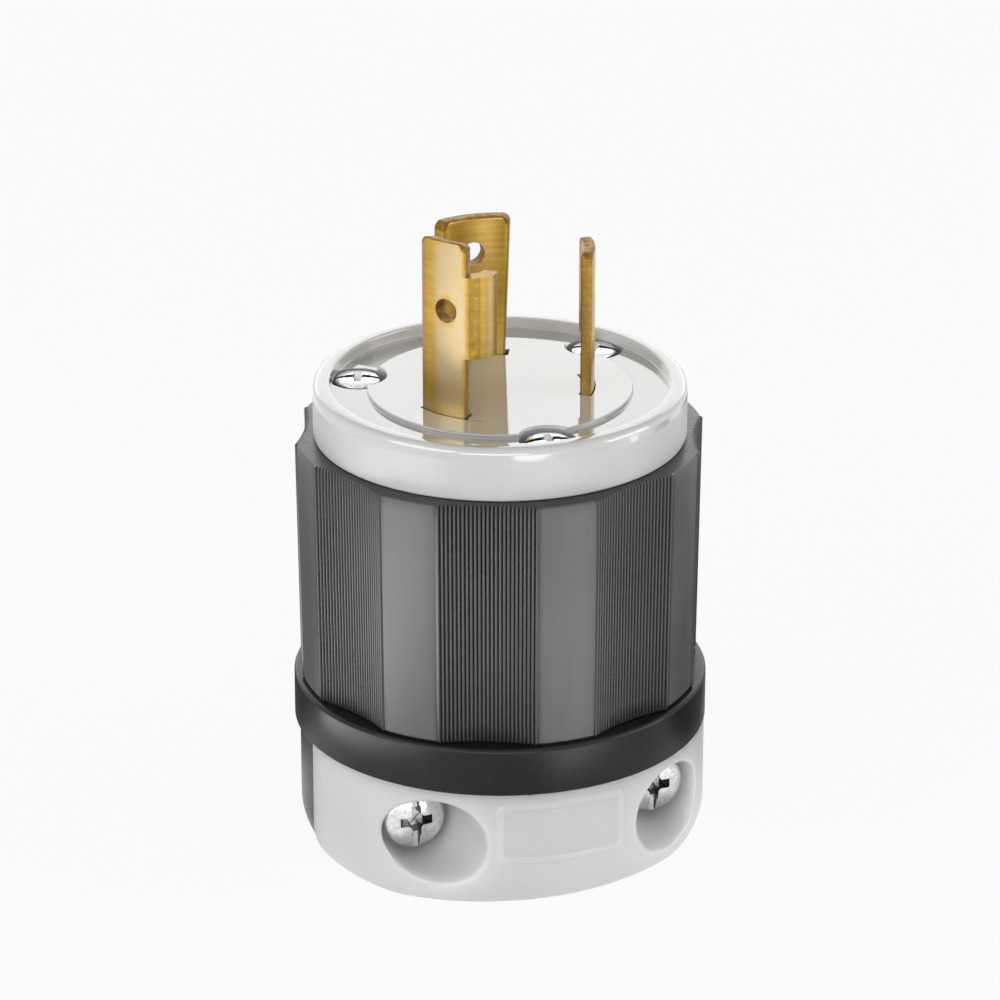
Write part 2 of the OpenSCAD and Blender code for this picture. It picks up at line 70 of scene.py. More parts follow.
def placeCamera(c):
    # the eye lies at the distance from the point looked at, in the direction of the two angles
    a, e = math.radians(c["azimuth"]), math.radians(c["elevation"])
    away = np.array([-math.sin(a) * math.cos(e), -math.cos(a) * math.cos(e), math.sin(e)])
    data = bpy.data.cameras.new("camera")
    data.lens = c["lens"]
    data.sensor_width = 36.0
    data.clip_start = 0.05
    eye = addObject("camera", data)
    eye.location = (away * c["distance"] + [0, 0, c["lookHeight"]]) * mm
    eye.rotation_euler = (math.radians(90) - e, 0, -a)
    bpy.context.scene.camera = eye


placeCamera(camera)
print("camera placed")


# Seats that the pieces are built on, in mm, read from the frame

def boxOf(node):
    # lowest and highest corner of a node's box, in mm
    low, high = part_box(node)
    return np.array(low) / mm, np.array(high) / mm


faceLow, faceHigh = boxOf("face_disc")
shellLow, shellHigh = boxOf("body_shell")
clampTop = boxOf("clamp_jaw")[1][2]
faceScrewEnd = boxOf("face_screws")[0][2]
clampScrewLow, clampScrewHigh = boxOf("clamp_screws")

rimTop = faceHigh[2]
plateauTop, bandTop = rimTop - 0.7, rimTop - 1.15  # the raised middle, and the band round it


# Mesh helpers: every surface is a grid of points, worked out as whole arrays

def gridQuads(rows, cols, closeRows=False, closeCols=False):
    # the four corners of each cell of a grid whose points are numbered row by row
    r = np.arange(rows if closeRows else rows - 1)
    c = np.arange(cols if closeCols else cols - 1)
    r, c = [g.ravel() for g in np.meshgrid(r, c, indexing="ij")]
    r2, c2 = (r + 1) % rows, (c + 1) % cols
    return np.stack([r * cols + c, r * cols + c2, r2 * cols + c2, r2 * cols + c], axis=1)


def gridPart(points, closeRows=False, closeCols=False):
    # points by row and column, with a face over each cell; a closed side is joined back to its start
    rows, cols = points.shape[:2]
    return points.reshape(-1, 3), [gridQuads(rows, cols, closeRows, closeCols)]


def cappedPart(rings):
    # a stack of closed rings, with one flat face over each end
    rows, cols = rings.shape[:2]
    ends = [np.arange(cols)[::-1][None, :], np.arange(cols)[None, :] + (rows - 1) * cols]
    return rings.reshape(-1, 3), [gridQuads(rows, cols, False, True)] + ends


def makePiece(name, parts, weld=True, sharp=32, tone=None):
    # one mesh of several parts, each of them points in mm and faces that count from its own first point;
    # tone is a number for each point, kept on the mesh for the material to read
    verts, faces, start = [], [], 0
    for points, groups in parts:
        verts.append(points)
        faces += [face for group in groups for face in (group + start).tolist()]
        start += len(points)
    mesh = bpy.data.meshes.new(name)
    mesh.from_pydata(np.concatenate(verts) * mm, [], faces)
    if tone is not None:
        mesh.attributes.new("tone", "FLOAT", "POINT").data.foreach_set("value", np.float32(tone).ravel())
    piece = addObject(name, mesh)
    if weld:
        cleanMesh(mesh)
    smooth(piece, sharp)
    return piece


def cleanMesh(mesh):
    # merges points that coincide, then turns every face outwards
    work = bmesh.new()
    work.from_mesh(mesh)
    bmesh.ops.remove_doubles(work, verts=work.verts, dist=2e-6)
    bmesh.ops.dissolve_degenerate(work, edges=work.edges, dist=1e-7)
    bmesh.ops.recalc_face_normals(work, faces=work.faces)
    work.to_mesh(mesh)
    work.free()


def smooth(piece, sharp):
    # smooth shading, except across edges sharper than this many degrees
    piece.data.shade_smooth()
    piece.data.set_sharp_from_angle(angle=math.radians(sharp))


def applyModifiers(piece):
    # makes the piece's modifiers part of its mesh
    graph = bpy.context.evaluated_depsgraph_get()
    mesh = bpy.data.meshes.new_from_object(piece.evaluated_get(graph))
    piece.modifiers.clear()
    old = piece.data
    piece.data = mesh
    bpy.data.meshes.remove(old)
    mesh.name = piece.name


def deletePiece(piece):
    # removes a piece and its mesh
    mesh = piece.data
    bpy.data.objects.remove(piece)
    bpy.data.meshes.remove(mesh)


def combine(piece, others, operation="DIFFERENCE", sharp=32):
    # cuts the other pieces out of a piece, or joins them to it, and deletes them
    for other in others:
        cut = piece.modifiers.new("cut", "BOOLEAN")
        cut.operation = operation
        cut.solver = "EXACT"
        cut.object = other
    applyModifiers(piece)
    for other in others:
        deletePiece(other)
    smooth(piece, sharp)
    return piece


def evenNormals(piece):
    # the larger face decides the normal at each point, so a flat face stays flat beside its rounding
    even = piece.modifiers.new("normals", "WEIGHTED_NORMAL")
    even.keep_sharp = True
    even.weight = 90
    applyModifiers(piece)


def toneFaces(piece, pick):
    # turns the tone into a number for each corner of a face; pick gives it for a face's centre and normal,
    # or nan where the tone stays as it was
    mesh = piece.data
    sizes = {"center": 3, "normal": 3, "loop_total": 1}
    centre, normal, corners = [np.zeros(len(mesh.polygons) * n) for n in sizes.values()]
    for key, values in zip(sizes, (centre, normal, corners)):
        mesh.polygons.foreach_get(key, values)
    vertex, old = np.zeros(len(mesh.loops), int), np.zeros(len(mesh.vertices))
    mesh.loops.foreach_get("vertex_index", vertex)
    if "tone" in mesh.attributes:
        mesh.attributes["tone"].data.foreach_get("value", old)
        mesh.attributes.remove(mesh.attributes["tone"])
    chosen = np.repeat(pick(centre.reshape(-1, 3) / mm, normal.reshape(-1, 3)), corners.astype(int))
    tone = np.where(np.isnan(chosen), old[vertex], chosen)
    mesh.attributes.new("tone", "FLOAT", "CORNER").data.foreach_set("value", np.float32(tone))


def rounded(corners, radii, steps=6, closed=True):
    # an outline with each corner replaced by an arc of the given radius, tangent to both sides; the arc's
    # centre lies on the line that halves the corner, at the radius over the sine of half the corner's angle
    corners = np.asarray(corners, float)
    before, after = np.roll(corners, 1, 0), np.roll(corners, -1, 0)
    out = []
    for i, (p, a, b, r) in enumerate(zip(corners, before, after, radii)):
        if r <= 0 or (not closed and i in (0, len(corners) - 1)):
            out.append(p[None, :])
            continue
        u, v = (a - p) / np.linalg.norm(a - p), (b - p) / np.linalg.norm(b - p)
        half = math.acos(np.clip(u @ v, -1, 1)) / 2
        centre = p + (u + v) / np.linalg.norm(u + v) * r / math.sin(half)
        start, stop = p + u * r / math.tan(half) - centre, p + v * r / math.tan(half) - centre
        sweep = math.pi - 2 * half
        t = np.linspace(0, 1, steps + 1)[:, None]
        arc = (np.sin((1 - t) * sweep) * start + np.sin(t * sweep) * stop) / math.sin(sweep)
        out.append(centre + arc)
    return np.concatenate(out)


def revolvePart(profile, steps, closed=True, centre=(0, 0)):
    # a profile of radius and height, turned about a vertical axis
    a = np.linspace(0, 2 * np.pi, steps, endpoint=False)[:, None]
    r, z = profile[None, :, 0], profile[None, :, 1]
    points = np.stack([centre[0] + r * np.sin(a), centre[1] - r * np.cos(a), z + 0 * a], axis=2)
    return gridPart(points, closeRows=True, closeCols=closed)


def footArc(r, edge, sink, steps=14):
    # rounding of the foot, from the floor up to the upright side; its arc runs on below the floor by sink
    a = np.linspace(-math.asin((edge - sink) / edge), 0, steps)
    return np.stack([r - edge + edge * np.cos(a), edge - sink + edge * np.sin(a)], 1)


def prismPart(outline, low, high):
    # an outline in X and Y carried straight up
    ring = np.concatenate([outline, np.zeros((len(outline), 1))], axis=1)
    return cappedPart(np.stack([ring + [0, 0, low], ring + [0, 0, high]]))


def ease(t):
    # from 0 to 1 as t goes from 0 to 1, level at both ends: 6 t^5 - 15 t^4 + 10 t^3
    t = np.clip(t, 0, 1)
    return t * t * t * (t * (6 * t - 15) + 10)


def outwards(degrees):
    # direction at an angle from the front, seen from above, positive towards +X
    a = np.radians(degrees)
    return np.array([np.sin(a), -np.cos(a)])


def sideways(degrees):
    # direction square to outwards, to the right of someone who looks at the plug from there
    a = np.radians(degrees)
    return np.array([np.cos(a), np.sin(a)])


# Shader helpers

class Signal:
    # an output socket; sums on it add their own Math nodes
    def __init__(self, shader, socket):
        self.shader = shader
        self.socket = socket

    def maths(self, operation, other, swapped=False):
        # one Math node; swapped puts the other value first
        first, second = (other, self) if swapped else (self, other)
        return self.shader.node("ShaderNodeMath", {"operation": operation}, {0: first, 1: second})

    def __add__(self, other):
        return self.maths("ADD", other)

    def __sub__(self, other):
        return self.maths("SUBTRACT", other)

    def __mul__(self, other):
        return self.maths("MULTIPLY", other)

    def __rsub__(self, other):
        return self.maths("SUBTRACT", other, swapped=True)

    __radd__ = __add__
    __rmul__ = __mul__

    def between(self, low, high):
        # 0 below low, 1 above high, eased between them
        inputs = {"Value": self, "From Min": low, "From Max": high}
        return self.shader.node("ShaderNodeMapRange", {"interpolation_type": "SMOOTHSTEP"}, inputs)


class Shader:
    # the node tree of a material or of the world
    def __init__(self, owner):
        owner.use_nodes = True
        self.owner = owner
        self.tree = owner.node_tree
        self.tree.nodes.clear()

    @cached_property
    def place(self):
        return self.node("ShaderNodeTexCoord", {}, {}, "Object")

    @cached_property
    def height(self):
        return self.node("ShaderNodeSeparateXYZ", {}, {"Vector": self.place}, "Z")

    @cached_property
    def tone(self):
        return self.node("ShaderNodeAttribute", {"attribute_name": "tone"}, {}, "Fac")

    def node(self, kind, settings, inputs, output=0):
        # any node: its settings are set first, then its sockets get their values or links
        made = self.tree.nodes.new(kind)
        for key, value in settings.items():
            setattr(made, key, value)
        for key, value in inputs.items():
            if isinstance(value, Signal):
                self.tree.links.new(value.socket, made.inputs[key])
            else:
                made.inputs[key].default_value = value
        return Signal(self, made.outputs[output]) if made.outputs else None

    def noise(self, scale, detail=3.0, stretch=(1, 1, 1), rough=0.5):
        # cloudy noise from 0 to 1; a smaller stretch draws it out along that axis
        moved = self.node("ShaderNodeMapping", {}, {"Vector": self.place, "Scale": stretch})
        inputs = {"Vector": moved, "Scale": scale, "Detail": detail, "Roughness": rough}
        return self.node("ShaderNodeTexNoise", {}, inputs, "Fac")

    def mix(self, amount, first, second):
        # from the first colour to the second as the amount rises from 0 to 1
        first, second = [c if isinstance(c, Signal) else (*c, 1) for c in (first, second)]
        return self.node("ShaderNodeMix", {"data_type": "RGBA"}, {0: amount, 6: first, 7: second}, 2)

    def bump(self, height, distance):
        return self.node("ShaderNodeBump", {}, {"Height": height, "Distance": distance}, "Normal")

    def seen(self):
        # 1 for rays from the camera and for reflections
        camera, glossy, passed = [self.ray(kind) for kind in ("Camera", "Glossy", "Transmission")]
        return camera.maths("MAXIMUM", glossy).maths("MAXIMUM", passed)

    def ray(self, kind):
        return self.node("ShaderNodeLightPath", {}, {}, "Is %s Ray" % kind)

    def surface(self, inputs):
        # ends the tree with one Principled shader
        shade = self.node("ShaderNodeBsdfPrincipled", {}, inputs)
        self.node("ShaderNodeOutputMaterial", {}, {"Surface": shade})
        return self.owner


def newMaterial(name):
    # a new material with an empty node tree
    return Shader(bpy.data.materials.new(name))


# Materials

def whiteFaceNylon():
    # polished like a mirror on top, and satin on its side
    s = newMaterial("whiteFaceNylon")
    cloud = s.noise(60, 2)
    ripple = s.noise(900, 2)
    top = s.height.between((bandTop - 0.4) * mm, (bandTop - 0.1) * mm)
    colour = s.mix(cloud.between(0.35, 0.65), (0.50, 0.50, 0.495), (0.535, 0.535, 0.53))
    return s.surface({"Base Color": colour, "Roughness": 0.42 - 0.36 * top, "IOR": 1.53, "Coat Weight": top,
                      "Coat Roughness": 0.03, "Coat IOR": 1.7, "Normal": s.bump(ripple, 0.000003)})


def whiteClampNylon():
    # satin, and let light in a little way
    s = newMaterial("whiteClampNylon")
    cloud = s.noise(45, 3)
    grain = s.noise(1500, 2)
    colour = s.mix(cloud.between(0.3, 0.7), (0.55, 0.55, 0.55), (0.60, 0.60, 0.60))
    return s.surface({"Base Color": colour, "Roughness": 0.28 + 0.14 * cloud, "IOR": 1.53,
                      "Subsurface Weight": 1.0, "Subsurface Radius": (1, 1, 1), "Subsurface Scale": 0.007,
                      "Coat Weight": 0.25, "Coat Roughness": 0.2, "Normal": s.bump(grain, 0.000006)})


def shellNylon():
    # the smooth lands, where the tone is 1, are more satin than the ribbed panels, and paler as a painted
    # sheen;
    # the ledge under the face, where it is -1, is painted dull black as shade
    s = newMaterial("shellNylon")
    cloud = s.noise(70, 4)
    grain = s.noise(2600, 2)
    streak = s.noise(300, 3, stretch=(1, 1, 0.06))
    ribbed = s.mix(cloud.between(0.3, 0.75), (0.028, 0.028, 0.027), (0.042, 0.042, 0.041))
    # the lands' paler colour is a painted sheen
    land = s.mix((0.5 * cloud + 0.5 * streak).between(0.35, 0.7), (0.06, 0.06, 0.059), (0.09, 0.09, 0.089))
    # painted shade: the ledge under the face is made dull black
    ledgeShade = (0 - s.tone).between(0.2, 0.9)
    colour = s.mix(ledgeShade, s.mix(s.tone.between(0, 1), ribbed, land), (0.004, 0.004, 0.004))
    rough = 0.24 + 0.08 * s.tone.between(0, 1) + 0.08 * cloud
    return s.surface({"Base Color": colour, "Roughness": rough, "IOR": 1.5,
                      "Normal": s.bump(grain, 0.000004)})


def ringNylon():
    # blacker than the shell, and less glossy
    s = newMaterial("ringNylon")
    cloud = s.noise(90, 4)
    grain = s.noise(2200, 2)
    colour = s.mix(cloud.between(0.35, 0.75), (0.006, 0.006, 0.006), (0.014, 0.014, 0.014))
    return s.surface({"Base Color": colour, "Roughness": 0.2 + 0.12 * cloud, "IOR": 1.32,
                      "Normal": s.bump(grain, 0.000003)})


brassTints = {
    # the pale colour that paints the highlight
    "paintedHighlight": (0.46, 0.37, 0.235),
    "browning": (0.46, 0.31, 0.085),
    # brown of the stamped edges, and of the painted shade in the hook's creases
    "stampedAndShade": (0.15, 0.07, 0.013),
}


def brass(name, light, dark, streak):
    # fine brushing across the blade and a browner foot; the tone is 1 on the browner stamped edges, near 0.5
    # in the hook's creases, where the brown is painted shade, and below 0 where a paler painted highlight is
    # laid on the sheet
    s = newMaterial(name)
    fine = s.noise(900, 3, stretch=(0.12, 0.12, 2.5), rough=0.6)
    cloud = s.noise(230, 4, rough=0.6)
    speck = s.noise(1900, 3, rough=0.7)
    base = s.mix((0.55 * fine + 0.45 * cloud).between(0.35, 0.65), light, dark)
    # painted highlight: a tone below 0 mixes the sheet towards the pale tint
    highlightShare = s.node("ShaderNodeMath", {"operation": "MULTIPLY", "use_clamp": True}, {0: s.tone, 1: -0.75})
    base = s.mix(highlightShare * (0.5 + fine), base, brassTints["paintedHighlight"])
    # browner in random patches and towards the foot
    foot = 1 - s.height.between(plateauTop * mm, (plateauTop + 5.5) * mm)
    browning = (0.5 * cloud.between(0.5, 0.75) + foot * fine.between(0.3, 0.6)).between(0, 1.4)
    colour = s.mix(browning, base, brassTints["browning"])
    # the brown stamped edges; where the tone comes from the hook's creases this brown is painted shade
    edge = s.tone.between(0.1, 0.8) * (0.65 + 0.3 * speck.between(0.35, 0.6))
    colour = s.mix(edge, colour, brassTints["stampedAndShade"])
    return s.surface({"Base Color": colour, "Metallic": 1.0, "Roughness": 0.3 + 0.14 * fine + 0.15 * edge,
                      "Coat Weight": 0.35 - 0.35 * edge, "Coat Roughness": 0.15, "Coat IOR": 1.5,
                      "Normal": s.bump(fine, streak)})


def zinc(name, tint):
    # bright plating with fine mottling, darkened as painted shade where the tone is 1, in the recess of a
    # screw
    s = newMaterial(name)
    fine = s.noise(2600, 3, rough=0.6)
    cloud = s.noise(700, 3)
    colour = s.mix((0.35 * cloud + 0.65 * fine).between(0.35, 0.65), tint, [c * 0.74 for c in tint])
    colour = s.mix(s.tone.between(0, 1), colour, [c * 0.06 for c in tint])
    return s.surface({"Base Color": colour, "Metallic": 1.0, "Roughness": 0.12 + 0.2 * cloud,
                      "Normal": s.bump(fine, 0.00002)})


def plainMoulding(name, grey):
    # an even grey plastic for what lies inside
    s = newMaterial(name)
    cloud = s.noise(120, 3)
    colour = s.mix(cloud, [grey * 0.92] * 3, [grey * 1.05] * 3)
    return s.surface({"Base Color": colour, "Roughness": 0.45 + 0.1 * cloud})


finish = {
    "white_nylon": whiteFaceNylon(),
    "white_clamp": whiteClampNylon(),
    "black_nylon": shellNylon(),
    "black_housing": ringNylon(),
    "blade_brass": brass("bladeBrass", (0.52, 0.33, 0.06), (0.41, 0.245, 0.038), 0.000003),
    "plate_brass": brass("plateBrass", (0.84, 0.64, 0.32), (0.74, 0.52, 0.22), 0.000004),
    "zinc_plate": zinc("zincPlate", (0.86, 0.87, 0.88)),
    "green_screw": zinc("greenScrew", (0.10, 0.42, 0.20)),
    "terminal_moulding": plainMoulding("terminalMoulding", 0.7),
    "dark_moulding": plainMoulding("darkMoulding", 0.09),
}
print("materials made")


def dress(piece, slotName, body, *nodes):
    # gives a piece the finish of its slot and its body, and hides the frame's nodes that it stands for
    piece.data.materials.clear()
    piece.data.materials.append(finish[slotName])
    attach(piece, body)
    if nodes:
        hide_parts(*nodes)


# Face

face = {
    "edge": 0.75,          # rounding of the outer edge
    "rimInner": 17.3,      # inner radius of the rim
    "rimRound": 0.28,      # rounding of its inner edge
    "plateau": 13.5,       # radius of the raised middle
    "underStep": 17.45,    # radius of the step that fits the shell
    "screwRadius": 14.8,   # distance of the screws from the middle
    "pocket": 2.95,        # radius of the pocket round a screw's head
    "pocketDepth": 2.25,   # depth of the screws' seats below the raised middle
    "pocketRound": 0.22,   # rounding of a pocket's mouth
    "shankHole": 1.9,
    "panelDrop": 0.3,      # depth of the bare sunk panel in the band
    "panelInset": (0.35, 0.3),    # from the raised middle, and from the rim
    "panelAngles": (-172, -134),
    "slotGap": 0.12,       # space round each blade in its slot
    "slitWide": 0.33,      # narrow slit beside the grounding blade's foot, under its hook
    "slitDeep": 1.2,
    "slitAngles": (12.0, 25.5),  # from the middle of that blade
}
screwAngles = (0, 120, -120)


def flareProfile(radius, low, high, flare):
    # section of a round cutter, whose mouth opens by a quarter arc, so that the cut edge is rounded
    q = np.linspace(0, np.pi / 2, 7)
    lip = np.stack([radius + flare * (1 - np.cos(q)), high - flare + flare * np.sin(q)], axis=1)
    return np.concatenate([[[0, low], [radius, low]], lip, [[radius + flare, high + 2], [0, high + 2]]])


def arcBand(r0, r1, a0, a1, low, high, steps=48):
    # a band between two radii and two angles, carried from low to high
    a = np.linspace(a0, a1, steps)
    outer, inner = r1 * outwards(a).T, r0 * outwards(a[::-1]).T
    return prismPart(np.concatenate([outer, inner]), low, high)


def makeFace(f):
    # a turned profile, with the screws' pockets, the panel, the blades' slots and the slit cut into it
    r, z0, z1 = faceHigh[0], faceLow[2], shellHigh[2]
    corners = [(0, z0), (f["underStep"], z0), (f["underStep"], z1), (r, z1), (r, rimTop),
               (f["rimInner"], rimTop), (f["rimInner"], bandTop), (f["plateau"], bandTop),
               (f["plateau"], plateauTop), (0, plateauTop)]
    radii = [0, 0.2, 0, 0.25, f["edge"], f["rimRound"], 0.15, 0.12, 0.18, 0]
    disc = makePiece("faceDisc", [revolvePart(rounded(corners, radii), 256, closed=False)])
    cutters = []
    for a in screwAngles:
        x, y = f["screwRadius"] * outwards(a)
        for radius, low, flare in ((f["pocket"], plateauTop - f["pocketDepth"], f["pocketRound"]),
                                   (f["shankHole"], z0 - 1, 0.05)):
            points, groups = revolvePart(flareProfile(radius, low, plateauTop, flare), 64, False, (x, y))
            # what would reach into the rim is drawn in to just inside it
            away = np.hypot(points[:, 0], points[:, 1])
            points[:, :2] *= np.minimum(1, (f["rimInner"] - 0.04) / away)[:, None]
            cutters.append(makePiece("pocket", [(points, groups)]))
    near, far = f["plateau"] + f["panelInset"][0], f["rimInner"] - f["panelInset"][1]
    panel = arcBand(near, far, *f["panelAngles"], bandTop - f["panelDrop"], bandTop + 2)
    cutters.append(makePiece("panel", [panel]))
    for blade in blades.values():
        half = math.degrees((blade["width"] / 2 + f["slotGap"]) / bladeMid)
        near, far = bladeInner - f["slotGap"], bladeInner + blade["thick"] + f["slotGap"]
        slot = arcBand(near, far, blade["angle"] - half, blade["angle"] + half, z0 - 1, rimTop)
        cutters.append(makePiece("slot", [slot]))
    ground = blades["ground"]
    far = bladeInner + ground["thick"] + 0.1
    angles = ground["angle"] + np.array(f["slitAngles"])
    slit = arcBand(far - f["slitWide"], far, *angles, plateauTop - f["slitDeep"], rimTop, 12)
    cutters.append(makePiece("slit", [slit]))
    combine(disc, cutters, sharp=28)
    evenNormals(disc)
    dress(disc, "white_nylon", "root", "face_disc")


# Blades

bladeInner = 8.45         # radius of the blades' inner faces
bladeMid = 9.2            # radius of the middle line of a sheet 1.5 mm thick
blades = {
    # angle and holeShift are in degrees round the face, the rest in mm: tip and foot are the heights of the
    # tip and of the foot's end above the raised middle, notchWidth is how much narrower the foot is, hookDrop
    # the drop from the tip to the hook, flare how much the left edge spreads towards the tip, tipSlope how
    # far the tip falls inwards, and the last pair where, along the width, the painted highlight starts and is
    # full
    "ground": {"angle": -55, "width": 5.2, "thick": 1.5, "tip": 18.5, "notchWidth": 0, "hookDrop": 3.5,
               "holeShift": 3.1, "flare": 0, "tipSlope": 0.35, "foot": 6.4, "paintedHighlight": (-1.3, 0.1)},
    "neutral": {"angle": 180, "width": 7.7, "thick": 1.5, "tip": 15.1, "notchWidth": 1.9, "hookDrop": None,
                "holeShift": 0, "flare": 0.5, "tipSlope": 0, "foot": 4.8, "paintedHighlight": None},
    "hot": {"angle": 72, "width": 6.0, "thick": 1.15, "tip": 15.1, "notchWidth": 1.9, "hookDrop": None,
            "holeShift": 0, "flare": 0, "tipSlope": 0, "foot": 4.8, "paintedHighlight": None},
}
bladeEdge = 0.26          # rounding of the stamped edges
bladeCorner = 0.9         # rounding of the tip's corners
bladeHole = (1.25, 11.2)  # radius, and height above the raised middle
holeReach = (5, 12)       # distances from the middle between which the holes' cutters run
hookTurns = ((-45, 0.9), (8, 1.5), (-53, 1.9))  # turns in degrees, and the radius of each
hookTail = 0.3
terminalTab = {
    "width": 8.4,
    "drop": 3.0,          # from the face's underside to the tab's upper end
    "length": 13.1,
    "overlap": 2.0,       # how far the blade's sheet runs down into the tab
    "corner": 0.15,
    "hole": 2.0,
    "holeDrop": 7.1,      # from the tab's upper end
}
tabTop = faceLow[2] - terminalTab["drop"]


def bladePath(blade):
    # the sheet's middle line seen from above: along the blade circle, then through the hook's turns;
    # the heading is summed along the length, and the place is the sum of steps of 0.01 mm along the heading
    ds = 0.01
    span = np.arange(-6, 6 + ds, ds)
    turn = np.full(len(span), 1 / bladeMid)
    if blade["hookDrop"] is not None:
        at = blade["width"] / 2
        turn[span > at] = 0
        for degrees, radius in hookTurns:
            length = math.radians(abs(degrees)) * radius
            turn[(span > at) & (span <= at + length)] = -math.copysign(1 / radius, degrees)
            at += length
    heading = np.cumsum(turn) * ds
    heading -= np.interp(0, span, heading)
    x, y = np.cumsum(np.cos(heading)) * ds, np.cumsum(np.sin(heading)) * ds
    x, y = x - np.interp(0, span, x), y - np.interp(0, span, y)
    return span, x, y, heading


def hookLength():
    # the arcs of the hook's turns and its straight end
    return sum(math.radians(abs(d)) * r for d, r in hookTurns) + hookTail


def sheetSection(left, right, half, edge, across=22, steps=5):
    # a closed section of the flat sheet in width and thickness, with its four corners rounded
    q = np.linspace(0, np.pi / 2, steps)
    top = np.linspace(left + edge, right - edge, across)
    parts = [np.stack([top, top * 0 + half], 1)]
    for side, start in (((right - edge, half - edge), 0), ((right - edge, edge - half), 1),
                        ((left + edge, edge - half), 2), ((left + edge, half - edge), 3)):
        a = start * np.pi / 2 + q
        parts.append(np.stack([side[0] + edge * np.sin(a), side[1] + edge * np.cos(a)], 1)[1:])
        if start == 1:
            parts.append(np.stack([top[::-1], top * 0 - half], 1)[1:])
    return np.concatenate(parts)[:-1]


def bladeRows(blade):
    # left and right edge of every row of the blade, as widths and heights, upwards: the foot, the step over
    # it, the sheet with or without its hook and that hook's step, and the quarter arcs of the tip's corners
    z0, tip = tabTop - terminalTab["overlap"] - plateauTop, blade["tip"]
    half = blade["width"] / 2
    foot = half - blade["notchWidth"]
    wide = half + (hookLength() if blade["hookDrop"] is not None else 0)
    top = tip - (blade["hookDrop"] or 0)
    n, c = blade["foot"], bladeCorner
    rows = [(-half, z, foot, z) for z in np.linspace(z0, n - 0.6, 8)]
    rows += [(-half, n - 0.5 + 0.8 * t, foot + (wide - foot) * t, n) for t in np.linspace(0, 1, 8)]
    if blade["hookDrop"] is not None:
        rows += [(-half, z, wide, z) for z in np.linspace(n + 1, top - 0.8, 8)]
        rows += [(-half, top - 0.3 + 0.6 * t, wide + (half - wide) * t, top) for t in np.linspace(0, 1, 8)]
        rows += [(-half, z, half, z) for z in np.linspace(top + 0.8, tip - c - 0.3, 4)]
    else:
        rows += [(-half, z, half, z) for z in np.linspace(n + 1, tip - c - 0.3, 12)]
    for q in np.linspace(0, np.pi / 2, 9)[:-1]:
        inset, rise = c * (1 - np.cos(q)), tip - c + c * np.sin(q)
        rows.append((-half + inset, rise, half - inset, rise))
    rows = np.array(rows)
    rows[:, 0] += blade["flare"] * (0.5 - rows[:, 1] / tip)
    return rows


def paintedLightTone(blade, s):
    # tone of the sheet's outer face by the distance s along its middle line: lower for a paler painted
    # highlight in a broad zone and on the ridge of the hook, higher along the left edge, and higher as
    # painted shade in the creases where the hook bends away and back
    half = blade["width"] / 2
    past = s - half
    paintedHighlight = ease((s - blade["paintedHighlight"][0]) / np.ptp(blade["paintedHighlight"])) * ease(0.5 - 3 * past)
    ridgeHighlight = 0.5 * ease((past - 1.2) / 0.4) * ease((2.45 - past) / 0.3)
    creaseShade = 0.5 * ease((past + 0.15) / 0.4) * ease((1.3 - past) / 0.4) + 0.5 * ease((past - 2.4) / 0.3)
    return creaseShade + 0.36 * ease(1.3 - s - half) - ridgeHighlight - paintedHighlight


def bladePart(blade):
    # the section of every row, bent along the path: its widths are lengths along the path, and its thickness
    # is square to the path's heading; also the tone, which is highest on the stamped edges
    span, px, py, heading = bladePath(blade)
    rings, tones = [], []
    tipStart, thick = blade["tip"] - bladeEdge, blade["thick"]
    for left, zLeft, right, zRight in bladeRows(blade):
        z = max(zLeft, zRight)
        lean = np.clip((z - tipStart) / bladeEdge, 0, 1)
        thin = bladeEdge * (1 - math.sqrt(1 - lean * lean))
        section = sheetSection(left, right, thick / 2 - thin, bladeEdge * (1 - 0.9 * lean))
        s, h = section[:, 0], section[:, 1]
        a = np.interp(s, span, heading)
        x = np.interp(s, span, px) + h * np.sin(a)
        y = np.interp(s, span, py) - h * np.cos(a)
        height = zLeft + (zRight - zLeft) * (s - left) / (right - left)
        height -= blade["tipSlope"] * np.clip(1 - (blade["tip"] - height) / 0.8, 0, 1) * (0.5 - h / thick)
        rings.append(np.stack([x, y, height], 1))
        inwards = np.minimum(s - left, right - s) / bladeEdge
        tone = np.maximum(0.5 * np.clip(1.4 - inwards, 0, 1), lean)
        if z > blade["tip"] - bladeCorner:
            tone = np.maximum(tone, np.clip(2 - inwards, 0, 1))
        # the outer face takes the painted highlight, below 0, and the painted shade of the creases, near 0.5
        if blade["paintedHighlight"]:
            tone = np.where(tone > 0, tone, paintedLightTone(blade, s) * (h > 0))
        tones.append(tone)
    points = np.array(rings)
    middle = (bladeInner + thick / 2) * outwards(blade["angle"])
    along, out = sideways(blade["angle"]), outwards(blade["angle"])
    placed = np.empty_like(points)
    placed[..., :2] = middle + points[..., :1] * along - points[..., 1:2] * out
    placed[..., 2] = points[..., 2] + plateauTop
    return cappedPart(placed), np.array(tones)


def radialBar(radius, a, r0, r1, z, steps=48):
    # a round bar along a radius, with rings close enough for some to fall within the sheet
    q = np.linspace(0, 2 * np.pi, steps, endpoint=False)
    across = np.concatenate([radius * np.cos(q)[:, None] * sideways(a), (z + radius * np.sin(q))[:, None]], 1)
    return cappedPart(np.stack([across + [*(outwards(a) * r), 0] for r in np.arange(r1, r0, -0.2)]))


def tabPart(blade):
    # flat terminal tab under the blade: a rectangle seen from above, carried down by its length
    half, near, far = terminalTab["width"] / 2, bladeInner, bladeInner + blade["thick"]
    corners = [(-half, near), (half, near), (half, far), (-half, far)]
    outline = rounded(corners, [terminalTab["corner"]] * 4, 3)
    flat = outline[:, :1] * sideways(blade["angle"]) + outline[:, 1:] * outwards(blade["angle"])
    return prismPart(flat, tabTop - terminalTab["length"], tabTop)


